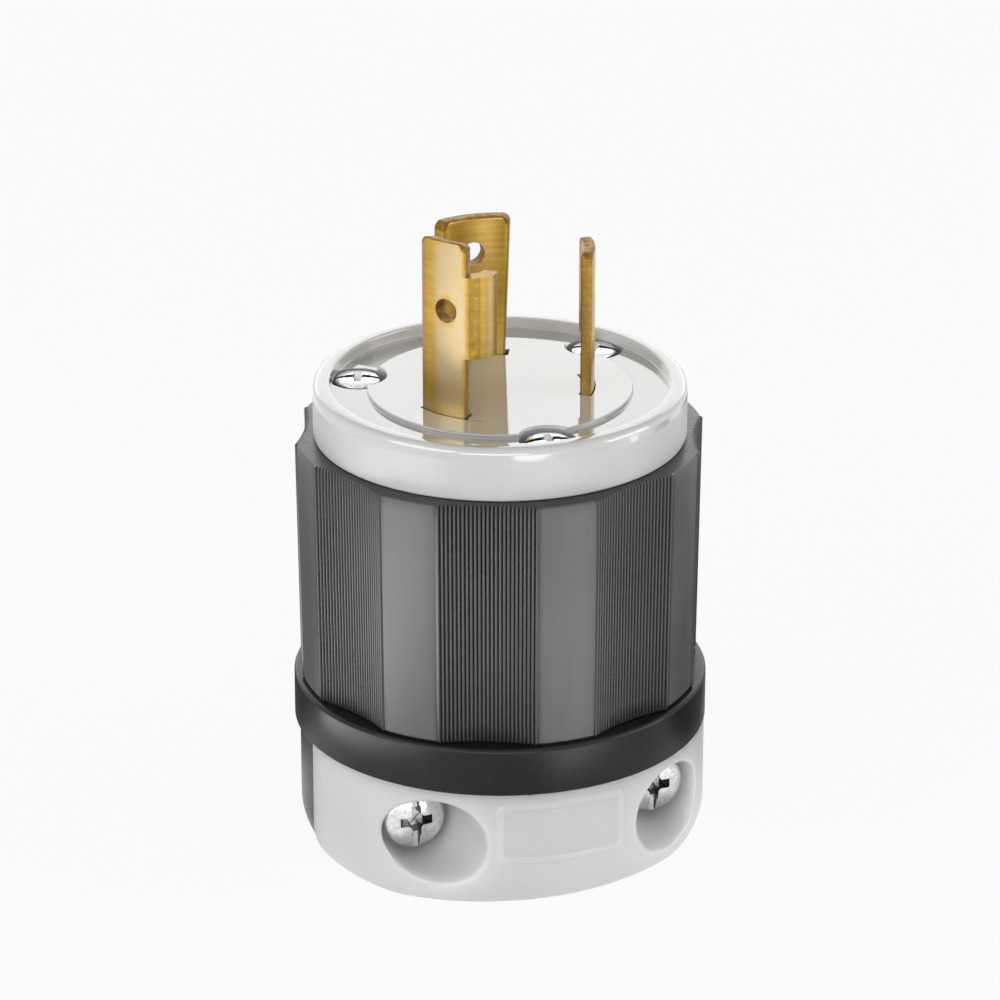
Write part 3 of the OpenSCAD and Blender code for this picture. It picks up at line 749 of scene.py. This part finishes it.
def makeBlade(name, blade):
    # the bent sheet joined with its terminal tab, less the hole in each
    sheet, tones = bladePart(blade)
    piece = makePiece("blade" + name.capitalize(), [sheet], sharp=40, tone=tones)
    combine(piece, [makePiece("tab", [tabPart(blade)])], "UNION")
    turned, (radius, rise) = blade["angle"] + blade["holeShift"], bladeHole
    holes = [radialBar(radius, turned, *holeReach, plateauTop + rise),
             radialBar(terminalTab["hole"], blade["angle"], *holeReach, tabTop - terminalTab["holeDrop"])]
    combine(piece, [makePiece("hole", [hole]) for hole in holes], sharp=40)

    def brownWall(centre, normal):
        # the faces no further from the hole's middle line than its radius that look across that line
        across, up = centre[:, :2] @ sideways(turned), centre[:, 2] - plateauTop - rise
        wall = (np.hypot(across, up) < radius + 0.01) & (np.abs(normal[:, :2] @ outwards(turned)) < 0.5)
        return np.where(wall, 1.0, np.nan)

    toneFaces(piece, brownWall)
    dress(piece, "blade_brass", "root", "blade_" + name)


for bladeName, bladeSizes in blades.items():
    makeBlade(bladeName, bladeSizes)
print("blades made")
makeFace(face)
print("face made")


# Shell

shell = {
    "topRadius": 20.96,    # at the lands, at the upper end
    "footRadius": 20.62,   # and at the lower end
    "bore": 17.55,
    "panels": 8,
    "land": 16.5,          # width of each smooth land, in degrees
    "sag": 0.6,            # depth of a panel below a straight line across it
    "ribs": 25,
    "ribHeight": 0.26,
    "edge": 0.22,          # rounding of the upper edge
}


def shellOutline(p, r, inset=0.0):
    # radius and angle round the shell: each panel is an arc that bends inwards, with ribs on it that rise as
    # a flattened sine, and each land is part of the circle of radius r
    half = math.radians(360 / p["panels"] - p["land"]) / 2
    chord = r * math.sin(half)
    bend = (chord ** 2 + p["sag"] ** 2) / (2 * p["sag"])
    centre = r * math.cos(half) - p["sag"] + bend
    reach = math.asin(chord / bend)
    t = np.linspace(0, 1, p["ribs"] * 10 + 1)
    q = reach * (2 * t - 1)
    lift = p["ribHeight"] * np.abs(np.sin(np.pi * t * p["ribs"])) ** 0.7
    px, py = centre - (bend - lift) * np.cos(q), (bend - lift) * np.sin(q)
    panelR, panelA = np.hypot(px, py), np.arctan2(py, px)
    landA = np.linspace(half, 2 * math.pi / p["panels"] - half, 14)[1:-1]
    radius = np.concatenate([panelR, np.full(len(landA), r)]) - inset
    angle = np.concatenate([panelA, landA])
    turns = (np.arange(p["panels"]) + 0.5) * 2 * math.pi / p["panels"]
    land = np.concatenate([0 * panelA, 0 * landA + 1])
    return np.tile(radius, p["panels"]), (angle[None, :] + turns[:, None]).ravel(), np.tile(land, p["panels"])


def makeShell(p):
    # the outline at each level, from the foot up and over the edge, then back down the bore
    z0, z1, e = shellLow[2], shellHigh[2], p["edge"]
    q = np.linspace(0, np.pi / 2, 6)
    levels = [(z0, 0.25), (z0 + 0.25, 0.0)] + [(z, 0.0) for z in np.linspace(z0 + 2, z1 - e - 1, 5)]
    levels += [(z1 - e + e * math.sin(a), e * (1 - math.cos(a))) for a in q]
    rows = []
    for z, inset in levels:
        t = (z - z0) / (z1 - z0)
        r, a, land = shellOutline(p, p["footRadius"] + t * (p["topRadius"] - p["footRadius"]), inset)
        rows.append(np.stack([r * np.sin(a), -r * np.cos(a), np.full(len(r), z)], 1))
    for z, bore in ((z1, p["bore"] + 0.3), (z1 - 0.3, p["bore"]), (z0, p["bore"])):
        rows.append(np.stack([bore * np.sin(a), -bore * np.cos(a), np.full(len(a), z)], 1))
    tone = np.tile(land, (len(rows), 1))
    # the ledge on top gets tone -1, which the material paints dull black as shade
    tone[len(levels) - 1:-1] = -1  # the ledge on top
    surface = gridPart(np.array(rows), closeRows=True, closeCols=True)
    piece = makePiece("bodyShell", [surface], sharp=40, tone=tone)
    dress(piece, "black_nylon", "root", "body_shell")


makeShell(shell)
print("shell made")


# Housing: flange ring, floor, spigot, posts and the fixed rear block of the clamp

housing = {
    "ring": 21.35,         # radius of the flange ring
    "edge": 0.45,          # rounding of its upper edge
    "clearance": 0.05,     # space between the housing and the clamp jaw
    "floorThick": 3.2,
    "cordHole": 10.0,
    "spigot": 17.45,
    "spigotWall": 1.8,
    "spigotHeight": 3.0,
    "post": 2.5,
    "postHeight": 12.0,
    "postBore": 1.65,
    "postFloor": 1.2,      # solid stretch under each post's bore
    "block": 20.8,         # radius of the rear block
    "blockFront": 2.0,     # distance from the middle to its flat front
    "cordGap": 8.6,        # half width of the cord's way in
    "footRound": 5.8,
    "footSink": 0.85,      # how far the foot's rounding would run on below the floor
    "jaw": 8.0,            # radius of the curved jaws
    "jawDepth": 4.9,
    "grooveDepth": 0.5,
    "grooveHeights": (3.3, 6.3, 9.3),  # of the grooves' lower edges
    "grooveWide": 1.5,
    "screwX": 12.95,
    "screwZ": 8.2,
    "screwHole": 2.05,
    "screwHoleEnd": 13.6,
    "nutSlot": (2.15, 4.65),  # from front to back
    "nutSlotHalf": 3.77,
    "nutSlotRise": 3.2,    # above the screws
}


def postPart(radius, low, high, centre, steps):
    # a round post, as a turned rectangle
    return revolvePart(np.array([(0, low), (radius, low), (radius, high), (0, high)]), steps, False, centre)


def boxPart(low, high):
    # a box between two opposite corners
    x0, y0, z0 = low
    x1, y1, z1 = high
    return prismPart(np.array([(x0, y0), (x1, y0), (x1, y1), (x0, y1)], float), z0, z1)


def yBar(radius, x, z, y0, y1, steps=48):
    # a round bar from front to back: a circle carried from y1 to y0
    q = np.linspace(0, 2 * np.pi, steps, endpoint=False)
    ring = np.stack([x + radius * np.cos(q), 0 * q, z + radius * np.sin(q)], 1)
    return cappedPart(np.stack([ring + [0, y1, 0], ring + [0, y0, 0]]))


def jawCutter(h, y):
    # curved channel that grips the cord, with grooves across it
    r, deep = h["jaw"], h["jaw"] + h["grooveDepth"]
    corners = [(0, -5), (r, -5)]
    for z in h["grooveHeights"]:
        corners += [(r, z), (deep, z), (deep, z + h["grooveWide"]), (r, z + h["grooveWide"])]
    corners += [(r, 20), (0, 20)]
    radii = [0, 0] + [0.12, 0.2, 0.2, 0.12] * len(h["grooveHeights"]) + [0, 0]
    return makePiece("jaw", [revolvePart(rounded(corners, radii, 4), 128, False, (0, y))])


def rearBlock(h, top):
    # a turned block with a rounded foot, less its front, the cord's way in, the bores and the nuts' slots
    side = footArc(h["block"], h["footRound"], h["footSink"])
    profile = np.concatenate([[(0, 0)], side, [(h["block"], top), (0, top)]])
    block = makePiece("block", [revolvePart(profile, 256, False)])
    gap = boxPart((-h["cordGap"], -3, -1), (h["cordGap"], h["blockFront"], 30))
    front = boxPart((-30, -30, -1), (30, -h["blockFront"], 30))
    jaw = jawCutter(h, h["jawDepth"] - h["jaw"])
    combine(block, [makePiece("gap", [gap]), makePiece("front", [front]), jaw])
    cutters, (near, far) = [], h["nutSlot"]
    for side in (-1, 1):
        x, z = side * h["screwX"], h["screwZ"]
        cutters.append(makePiece("bore", [yBar(h["screwHole"], x, z, -5, h["screwHoleEnd"])]))
        slot = boxPart((x - h["nutSlotHalf"], near, -1), (x + h["nutSlotHalf"], far, z + h["nutSlotRise"]))
        cutters.append(makePiece("nutSlot", [slot]))
    return combine(block, cutters)


def makeHousing(h):
    # a turned ring with its floor and spigot, joined with the posts and the rear block, less the posts' bores
    z0, z1 = clampTop + h["clearance"], shellLow[2]
    inner = h["spigot"] - h["spigotWall"]
    corners = [(h["cordHole"], z0), (h["ring"], z0), (h["ring"], z1), (h["spigot"], z1),
               (h["spigot"], z1 + h["spigotHeight"]), (inner, z1 + h["spigotHeight"]),
               (inner, z0 + h["floorThick"]), (h["cordHole"], z0 + h["floorThick"])]
    profile = rounded(corners, [0.3, 0.12, h["edge"], 0, 0.3, 0.2, 0.3, 0.3])
    ring = makePiece("backHousing", [revolvePart(profile, 256)])
    added, holes = [], []
    for a in screwAngles:
        centre = face["screwRadius"] * outwards(a)
        added.append(makePiece("post", [postPart(h["post"], z0, z0 + h["postHeight"], centre, 48)]))
        low = z0 + h["postFloor"]
        holes.append(makePiece("postBore", [postPart(h["postBore"], low, low + h["postHeight"], centre, 32)]))
    combine(ring, added + [rearBlock(h, z0 + 0.5)], "UNION")  # the block runs up into the ring
    combine(ring, holes, sharp=30)
    dress(ring, "black_housing", "root", "back_housing")


makeHousing(housing)
print("housing made")


# Clamp jaw: the white front part, which slides towards the rear block

clamp = {
    "radius": 21.25,
    "footRound": 5.8,      # rounding all round the foot
    "footSink": 0.85,
    "frontBack": 5.0,      # a fuller rounding at the front, turned about an axis behind the middle
    "frontRound": 7.2,
    "frontSink": 0.5,
    "splitEdge": 0.3,
    "pocket": 3.7,         # radius of a screw pocket at its floor
    "pocketFloor": 9.4,    # distance of that floor from the middle
    "pocketLean": 0.1266,  # growth of the pocket's radius for each mm towards the front
    "pocketLip": 0.4,      # rounding of the pocket's mouth
    "frameX": -0.45,       # middle of the blank raised frame
    "frameMiddle": 9.7,    # and its height above the floor
    "frameHalf": 6.8,      # half its width
    "frameHeight": 6.5,
    "frameCorner": 1.0,
    "frameBorder": 0.6,
    "frameProud": 0.18,
}


def roundInset(z, r, sink):
    # how far a rounded foot draws in at height z: its radius less the far side of a right-angled triangle
    fall = np.clip(r - sink - z, 0, r)
    return r - np.sqrt(r * r - fall * fall)


def skinDepth(c, x, z):
    # how far the skin lies in front of the middle: the nearer of two round fronts, blended where they cross
    around = c["radius"] - roundInset(z, c["footRound"], c["footSink"])
    turned = c["radius"] + c["frontBack"] - roundInset(z, c["frontRound"], c["frontSink"])
    outer = np.sqrt(np.clip(around ** 2 - x * x, 0, None))
    front = np.sqrt(np.clip(turned ** 2 - x * x, 0, None)) - c["frontBack"]
    return (outer + front - np.sqrt((outer - front) ** 2 + 0.02)) / 2


def frameLift(c, x, z):
    # 1 on the border of a rounded rectangle and 0 elsewhere, from the distance to its outline
    r = c["frameCorner"]
    dx = np.abs(x - c["frameX"]) - (c["frameHalf"] - r)
    dz = np.abs(z - c["frameMiddle"]) - (c["frameHeight"] / 2 - r)
    away = np.hypot(np.maximum(dx, 0), np.maximum(dz, 0)) + np.minimum(np.maximum(dx, dz), 0) - r
    middle = np.abs(away + c["frameBorder"] / 2) - c["frameBorder"] / 2
    return 1 - ease((middle + 0.12) / 0.24)


def lipDip(c, x, z, depth):
    # how far the skin turns in beside a screw pocket, as a quarter round that ends at the pocket's wall
    away = np.hypot(np.abs(x) - housing["screwX"], z - housing["screwZ"])
    mouth = c["pocket"] + c["pocketLean"] * (depth - c["pocketFloor"])
    t = np.clip(1 - (away - mouth) / c["pocketLip"], 0, 0.98)
    return c["pocketLip"] * (1 - np.sqrt(1 - t * t))


def clampSkin(c, faceY):
    # the skin as one grid over width and height, ending in a small rounding at each side of the split;
    # its rows are closer in the rounded foot, and its columns towards the sides
    e = c["splitEdge"]
    z = np.concatenate([np.linspace(0, 7, 46), np.linspace(7, clampTop, 60)[1:]])
    z, u = np.meshgrid(z, np.linspace(-1, 1, 460), indexing="ij")
    limit = np.sqrt((c["radius"] - roundInset(z, c["footRound"], c["footSink"])) ** 2 - (faceY + e) ** 2)
    x = limit * np.sin(u * 1.4) / math.sin(1.4)
    depth = np.maximum(skinDepth(c, x, z), faceY + e)
    depth += c["frameProud"] * frameLift(c, x, z) - lipDip(c, x, z, depth)
    skin = np.stack([x, -depth, z], axis=2)
    q = np.linspace(0, np.pi / 2, 6)[1:]
    ends = []
    for side in (0, -1):
        edge = np.repeat(skin[:, side:side + 1 or None], 5, axis=1)
        edge[..., 0] -= np.sign(edge[..., 0]) * e * (1 - np.cos(q))
        edge[..., 1] += e * np.sin(q)
        ends.append(edge)
    return np.concatenate([ends[0][:, ::-1], skin, ends[1]], axis=1)


def pocketPart(c, x, z, steps=96):
    # the screw's hole, and a round pocket in front of it that widens forwards, with a fillet round its floor
    q = np.linspace(0, 2 * np.pi, steps, endpoint=False)
    floor, reach, hole = -c["pocketFloor"], -26.0, housing["screwHole"]
    mouth = c["pocket"] + c["pocketLean"] * (floor - reach)
    corners = [(hole, 1), (hole, floor), (c["pocket"], floor), (mouth, reach)]
    profile = rounded(corners, [0, 0.15, 0.4, 0], 6, False)
    profile = np.concatenate([profile[:-2], np.linspace(profile[-2], profile[-1], 34)])
    rings = [np.stack([x + r * np.cos(q), np.full(steps, y), z + r * np.sin(q)], 1) for r, y in profile]
    return cappedPart(np.array(rings))


def makeClampJaw(c):
    # the skin, closed by a flat back, top and foot, less the curved jaw and the two screw pockets
    faceY = housing["blockFront"] + housing["clearance"]
    skin = clampSkin(c, faceY)
    rows, cols = skin.shape[:2]
    numbers = np.arange(rows * cols).reshape(rows, cols)
    back = np.stack([numbers[:-1, 0], numbers[:-1, -1], numbers[1:, -1], numbers[1:, 0]], 1)
    faces = [gridQuads(rows, cols), back, numbers[:1], numbers[-1:]]
    piece = makePiece("clampJaw", [(skin.reshape(-1, 3), faces)])
    cutters = [jawCutter(housing, housing["jaw"] - housing["jawDepth"])]
    for side in (-1, 1):
        x, z = side * housing["screwX"], housing["screwZ"]
        cutters.append(makePiece("pocket", [pocketPart(c, x, z)]))
    combine(piece, cutters, sharp=30)
    dress(piece, "white_clamp", "clamp", "clamp_jaw")


makeClampJaw(clamp)
print("clamp jaw made")


# Screws

screwKinds = {
    # radius and thickness of the head, rise of its dome, radius of the shank, pitch and depth of the thread,
    # and how far each screw was turned, in degrees
    "face": {"head": 2.35, "thick": 2.15, "dome": 0.25, "shank": 1.6, "pitch": 0.8, "thread": 0.3,
             "turns": (-9, -25, -19)},
    "clamp": {"head": 3.15, "thick": 2.2, "dome": 0.45, "shank": 1.75, "pitch": 0.8, "thread": 0.3,
              "turns": (91, 88)},
}
screwRecess = (
    # angle, length and width in head radii, depth in mm, and the share of the length left at the bottom
    (0, 2.4, 0.27, 0.7, 1.0),     # straight slot across the whole head
    (0, 1.25, 0.34, 1.4, 0.5),    # crossed wings
    (90, 1.25, 0.34, 1.4, 0.5),
    (45, 0.62, 0.62, 1.5, 0.35),  # square pit in the middle
)


def headPart(k):
    # a head turned from a profile, with the top of its dome at height 0
    r, t, d = k["head"], k["thick"], k["dome"]
    across = np.linspace(0, 1, 10)
    dome = np.stack([r * 0.9 * across, d * (1 - across ** 2) - d], 1)
    corners = [(r * 0.9, -d), (r, -d - 0.15), (r, -t), (k["shank"] * 0.9, -t)]
    edge = rounded(corners, [0, 0.3, 0.12, 0], 6, False)
    head = np.concatenate([dome, edge[1:]])
    return revolvePart(np.concatenate([head, [[0, -t]]]), 72, closed=False)


def threadPart(k, z0, z1, steps=48):
    # the shank's radius falls and rises once for each pitch climbed and once round each turn
    rows = max(24, int((z1 - z0) / k["pitch"] * 8))
    z = np.linspace(z0, z1, rows)[:, None]
    a = np.linspace(0, 2 * np.pi, steps, endpoint=False)[None, :]
    wave = np.abs(((z / k["pitch"] - a / (2 * np.pi)) % 1) * 2 - 1)
    r = k["shank"] - k["thread"] * wave
    points = np.stack([r * np.cos(a), r * np.sin(a), z + 0 * a], axis=2)
    return cappedPart(points)


def recessCutters(k, turn):
    # each part of the recess is a rectangle above the head and a smaller one at its depth, with flat sides;
    # sizes across are turned into places by the directions sideways and outwards of its angle
    cutters = []
    for angle, length, width, depth, taper in screwRecess:
        a, x, y = angle + turn, length * k["head"] / 2, width * k["head"] / 2
        top = np.array([(-x, -y), (x, -y), (x, y), (-x, y)])
        low = top * [taper, 0.7]
        along = np.stack([sideways(a), outwards(a)])
        rings = [np.concatenate([low @ along, np.full((4, 1), -depth)], 1),
                 np.concatenate([top @ along, np.full((4, 1), 0.3)], 1)]
        cutters.append(makePiece("recess", [cappedPart(np.array(rings))]))
    return cutters


def makeScrew(k, length, turn):
    # a head over a threaded shank, with its recess turned; it stands on the origin's axis
    head = makePiece("screw", [headPart(k)], sharp=40)
    shank = makePiece("shank", [threadPart(k, -k["thick"] - length, -k["thick"] + 0.4)], sharp=60)
    combine(head, [shank], "UNION")
    combine(head, recessCutters(k, turn), sharp=35)

    def recessShade(centre, normal):
        # painted shade in the recess: the middle and the slot's floor stay bright; the wings' ends and one
        # wall of the slot are dark
        away = np.hypot(centre[:, 0], centre[:, 1])
        under = -k["dome"] * (away / (0.9 * k["head"])) ** 2 - centre[:, 2]
        inside = (under > 0.06) & (away < 0.97 * k["head"]) & (centre[:, 2] > 0.1 - k["thick"])
        dark = (normal[:, :2] @ outwards(turn) < -0.3) | ((under > 0.5) & (away > 0.3 * k["head"]))
        return np.where(inside, np.where(dark, 0.9, 0.25), 0.0)

    toneFaces(head, recessShade)
    return head


def joinPieces(name, pieces):
    # one mesh of several pieces, which are deleted
    work = bmesh.new()
    for piece in pieces:
        work.from_mesh(piece.data)
        deletePiece(piece)
    mesh = bpy.data.meshes.new(name)
    work.to_mesh(mesh)
    work.free()
    joined = addObject(name, mesh)
    smooth(joined, 35)
    return joined


def makeScrews():
    # the face screws stand on their seats, and the clamp screws are laid to run from front to back
    kind, seat, made = screwKinds["face"], plateauTop - face["pocketDepth"], []
    for a, turn in zip(screwAngles, kind["turns"]):
        screw = makeScrew(kind, seat - faceScrewEnd, turn)
        x, y = face["screwRadius"] * outwards(a)
        screw.data.transform(Matrix.Translation((x * mm, y * mm, (seat + kind["thick"]) * mm)))
        made.append(screw)
    dress(joinPieces("faceScrews", made), "zinc_plate", "root", "face_screws")
    kind, made = screwKinds["clamp"], []
    length = clampScrewHigh[1] - clampScrewLow[1] - kind["thick"]
    for side, turn in zip((-1, 1), kind["turns"]):
        screw = makeScrew(kind, length, turn)
        x, y, z = side * housing["screwX"], clampScrewLow[1], housing["screwZ"]
        lay = Matrix.Rotation(math.radians(90), 4, "X")
        screw.data.transform(Matrix.Translation((x * mm, y * mm, z * mm)) @ lay)
        made.append(screw)
    dress(joinPieces("clampScrews", made), "zinc_plate", "clamp", "clamp_screws")


makeScrews()
print("screws made")


# Pieces that keep their frame mesh

slotOf = {part["node"]: part["material_slot"] for part in frame["record"]["subparts"]}
keptNodes = ("terminal_body", "blade_retainer", "pressure_plate_ground", "pressure_plate_neutral",
             "pressure_plate_hot", "terminal_screw_ground", "terminal_screw_neutral", "terminal_screw_hot",
             "clamp_nuts")
for nodeName in keptNodes:
    kept = frame["nodes"][nodeName]
    kept.data.materials.clear()
    kept.data.materials.append(finish[slotOf[nodeName]])


# Stage

stage = {
    "floorReach": 3000,    # mm from the middle to each side
    "floorDrop": 0.02,     # mm below the plug's foot
    "floorColour": 0.93,
    "plainShare": 0.92,    # how much of the floor that is seen is plain white, and not lit
    # dimming and dimSpots paint shade on the floor that only reflections see
    "dimming": 0.9,        # how much darker reflections see it within the spots
    "dimSpots": (((10, 70), (100, 50)), ((90, 5), (60, 30))),  # middle and radii of two ellipses, in mm
    "horizon": 2.05,       # strength of the sky, low down and overhead
    "overhead": 0.28,
}
softboxes = {              # in metres and watts, each aimed at a height on the plug's axis
    "left": {"place": (-0.6, -0.25, 0.25), "size": (0.5, 0.35), "power": 1.4, "aim": 0.035, "diffuse": True},
    "right": {"place": (0.6, -0.30, 0.2), "size": (0.4, 0.35), "power": 1.2, "aim": 0.035, "diffuse": True},
    "front": {"place": (-0.3, -0.75, 0.14), "size": (0.6, 0.2), "power": 1.6, "aim": 0.035, "diffuse": True},
    "back": {"place": (0.33, 0.95, 0.46), "size": (1.6, 0.7), "power": 3.8, "aim": 0.05, "diffuse": False},
}
glows = {                  # cards of light on the floor: degrees from the front, and mm
    "left": {"angle": -78, "radii": (62, 110), "width": 100, "radiance": 5.6},
    "right": {"angle": 20, "radii": (68, 116), "width": 60, "radiance": 3.5},
    "blade": {"angle": -80, "radii": (140, 200), "width": 105, "radiance": 0.1},
    "backBlade": {"angle": 1, "radii": (140, 195), "width": 70, "radiance": 3.2},
    "hook": {"angle": 66, "radii": (140, 195), "width": 55, "radiance": 1.5},
}


def outsideSpot(s, middle, radii):
    # 0 within an ellipse on the floor and 1 outside it, eased across its edge
    inputs = {"Vector": s.place, "Location": (-middle[0] / radii[0], -middle[1] / radii[1], 0),
              "Scale": (1 / (radii[0] * mm), 1 / (radii[1] * mm), 1)}
    moved = s.node("ShaderNodeMapping", {}, inputs)
    away = s.node("ShaderNodeVectorMath", {"operation": "LENGTH"}, {0: moved}, "Value")
    return away.between(0.8, 1.15)


def paleFloor(f):
    # the camera and the reflections see a floor that is mostly plain white, and partly lit, which keeps the
    # shadow; reflections see it darker close to the plug, a painted shade which keeps the ends of the black
    # parts dark
    s = newMaterial("paleFloor")
    behind, beside = [outsideSpot(s, *spot) for spot in f["dimSpots"]]
    dim = f["dimming"] * s.ray("Glossy") * (1 - behind * beside)
    lit = s.node("ShaderNodeBsdfDiffuse", {}, {"Color": (*[f["floorColour"]] * 3, 1)})
    plain = s.node("ShaderNodeEmission", {}, {"Color": s.mix(dim, (1, 1, 1), (0, 0, 0)), "Strength": 1})
    shown = s.node("ShaderNodeMixShader", {}, {0: f["plainShare"] * s.seen(), 1: lit, 2: plain})
    s.node("ShaderNodeOutputMaterial", {}, {"Surface": shown})
    return s.owner


def makeFloor(f):
    # one square just below the foot
    side = np.array([-f["floorReach"], f["floorReach"]])
    x, y = np.meshgrid(side, side, indexing="ij")
    floor = makePiece("floor", [gridPart(np.stack([x, y, 0 * x - f["floorDrop"]], axis=2))], weld=False)
    floor.data.materials.append(paleFloor(f))


def makeWorld(w):
    # plain white to the camera and in reflections; for diffuse light a soft sky, brighter towards the horizon
    world = bpy.data.worlds.new("studio")
    bpy.context.scene.world = world
    s = Shader(world)
    way = s.node("ShaderNodeTexCoord", {}, {}, "Generated")
    rise = s.node("ShaderNodeSeparateXYZ", {}, {"Vector": way}, "Z")
    sky = s.mix(rise.between(0.05, 0.45), [w["horizon"]] * 3, [w["overhead"]] * 3)
    soft = s.node("ShaderNodeBackground", {}, {"Color": sky, "Strength": 1})
    white = s.node("ShaderNodeBackground", {}, {"Color": (1, 1, 1, 1), "Strength": 1})
    blend = s.node("ShaderNodeMixShader", {}, {0: s.seen(), 1: soft, 2: white})
    s.node("ShaderNodeOutputWorld", {}, {"Surface": blend})


def addLamp(name, place, size, power, turn, diffuse):
    # a rectangular lamp that the camera doesn't see, and that may be left out of the diffuse light
    data = bpy.data.lights.new(name, "AREA")
    data.shape = "RECTANGLE"
    data.size, data.size_y = size
    data.energy = power
    lamp = addObject(name, data)
    lamp.location = place
    lamp.rotation_euler = turn
    lamp.visible_camera = False
    lamp.visible_diffuse = diffuse


def addSoftbox(name, b):
    # a lamp turned from its place towards the point that it is aimed at
    toward = Vector((0, 0, b["aim"])) - Vector(b["place"])
    turn = toward.to_track_quat("-Z", "Y").to_euler()
    addLamp(name, b["place"], b["size"], b["power"], turn, b["diffuse"])


def addGlow(name, g):
    # a card between two radii that shines upwards, with the power of its radiance times its area times pi;
    # it only shows as a highlight on glossy upright surfaces
    near, far = g["radii"]
    x, y = outwards(g["angle"]) * (near + far) / 2 * mm
    size = ((far - near) * mm, g["width"] * mm)
    power = g["radiance"] * size[0] * size[1] * math.pi
    addLamp(name, (x, y, 0.0005), size, power, (math.pi, 0, math.radians(90 - g["angle"])), False)


makeFloor(stage)
makeWorld(stage)
for lampName, lampValues in softboxes.items():
    addSoftbox(lampName + "Softbox", lampValues)
for lampName, lampValues in glows.items():
    addGlow(lampName + "Glow", lampValues)
bpy.context.scene.view_settings.view_transform = "Standard"
print("stage made")
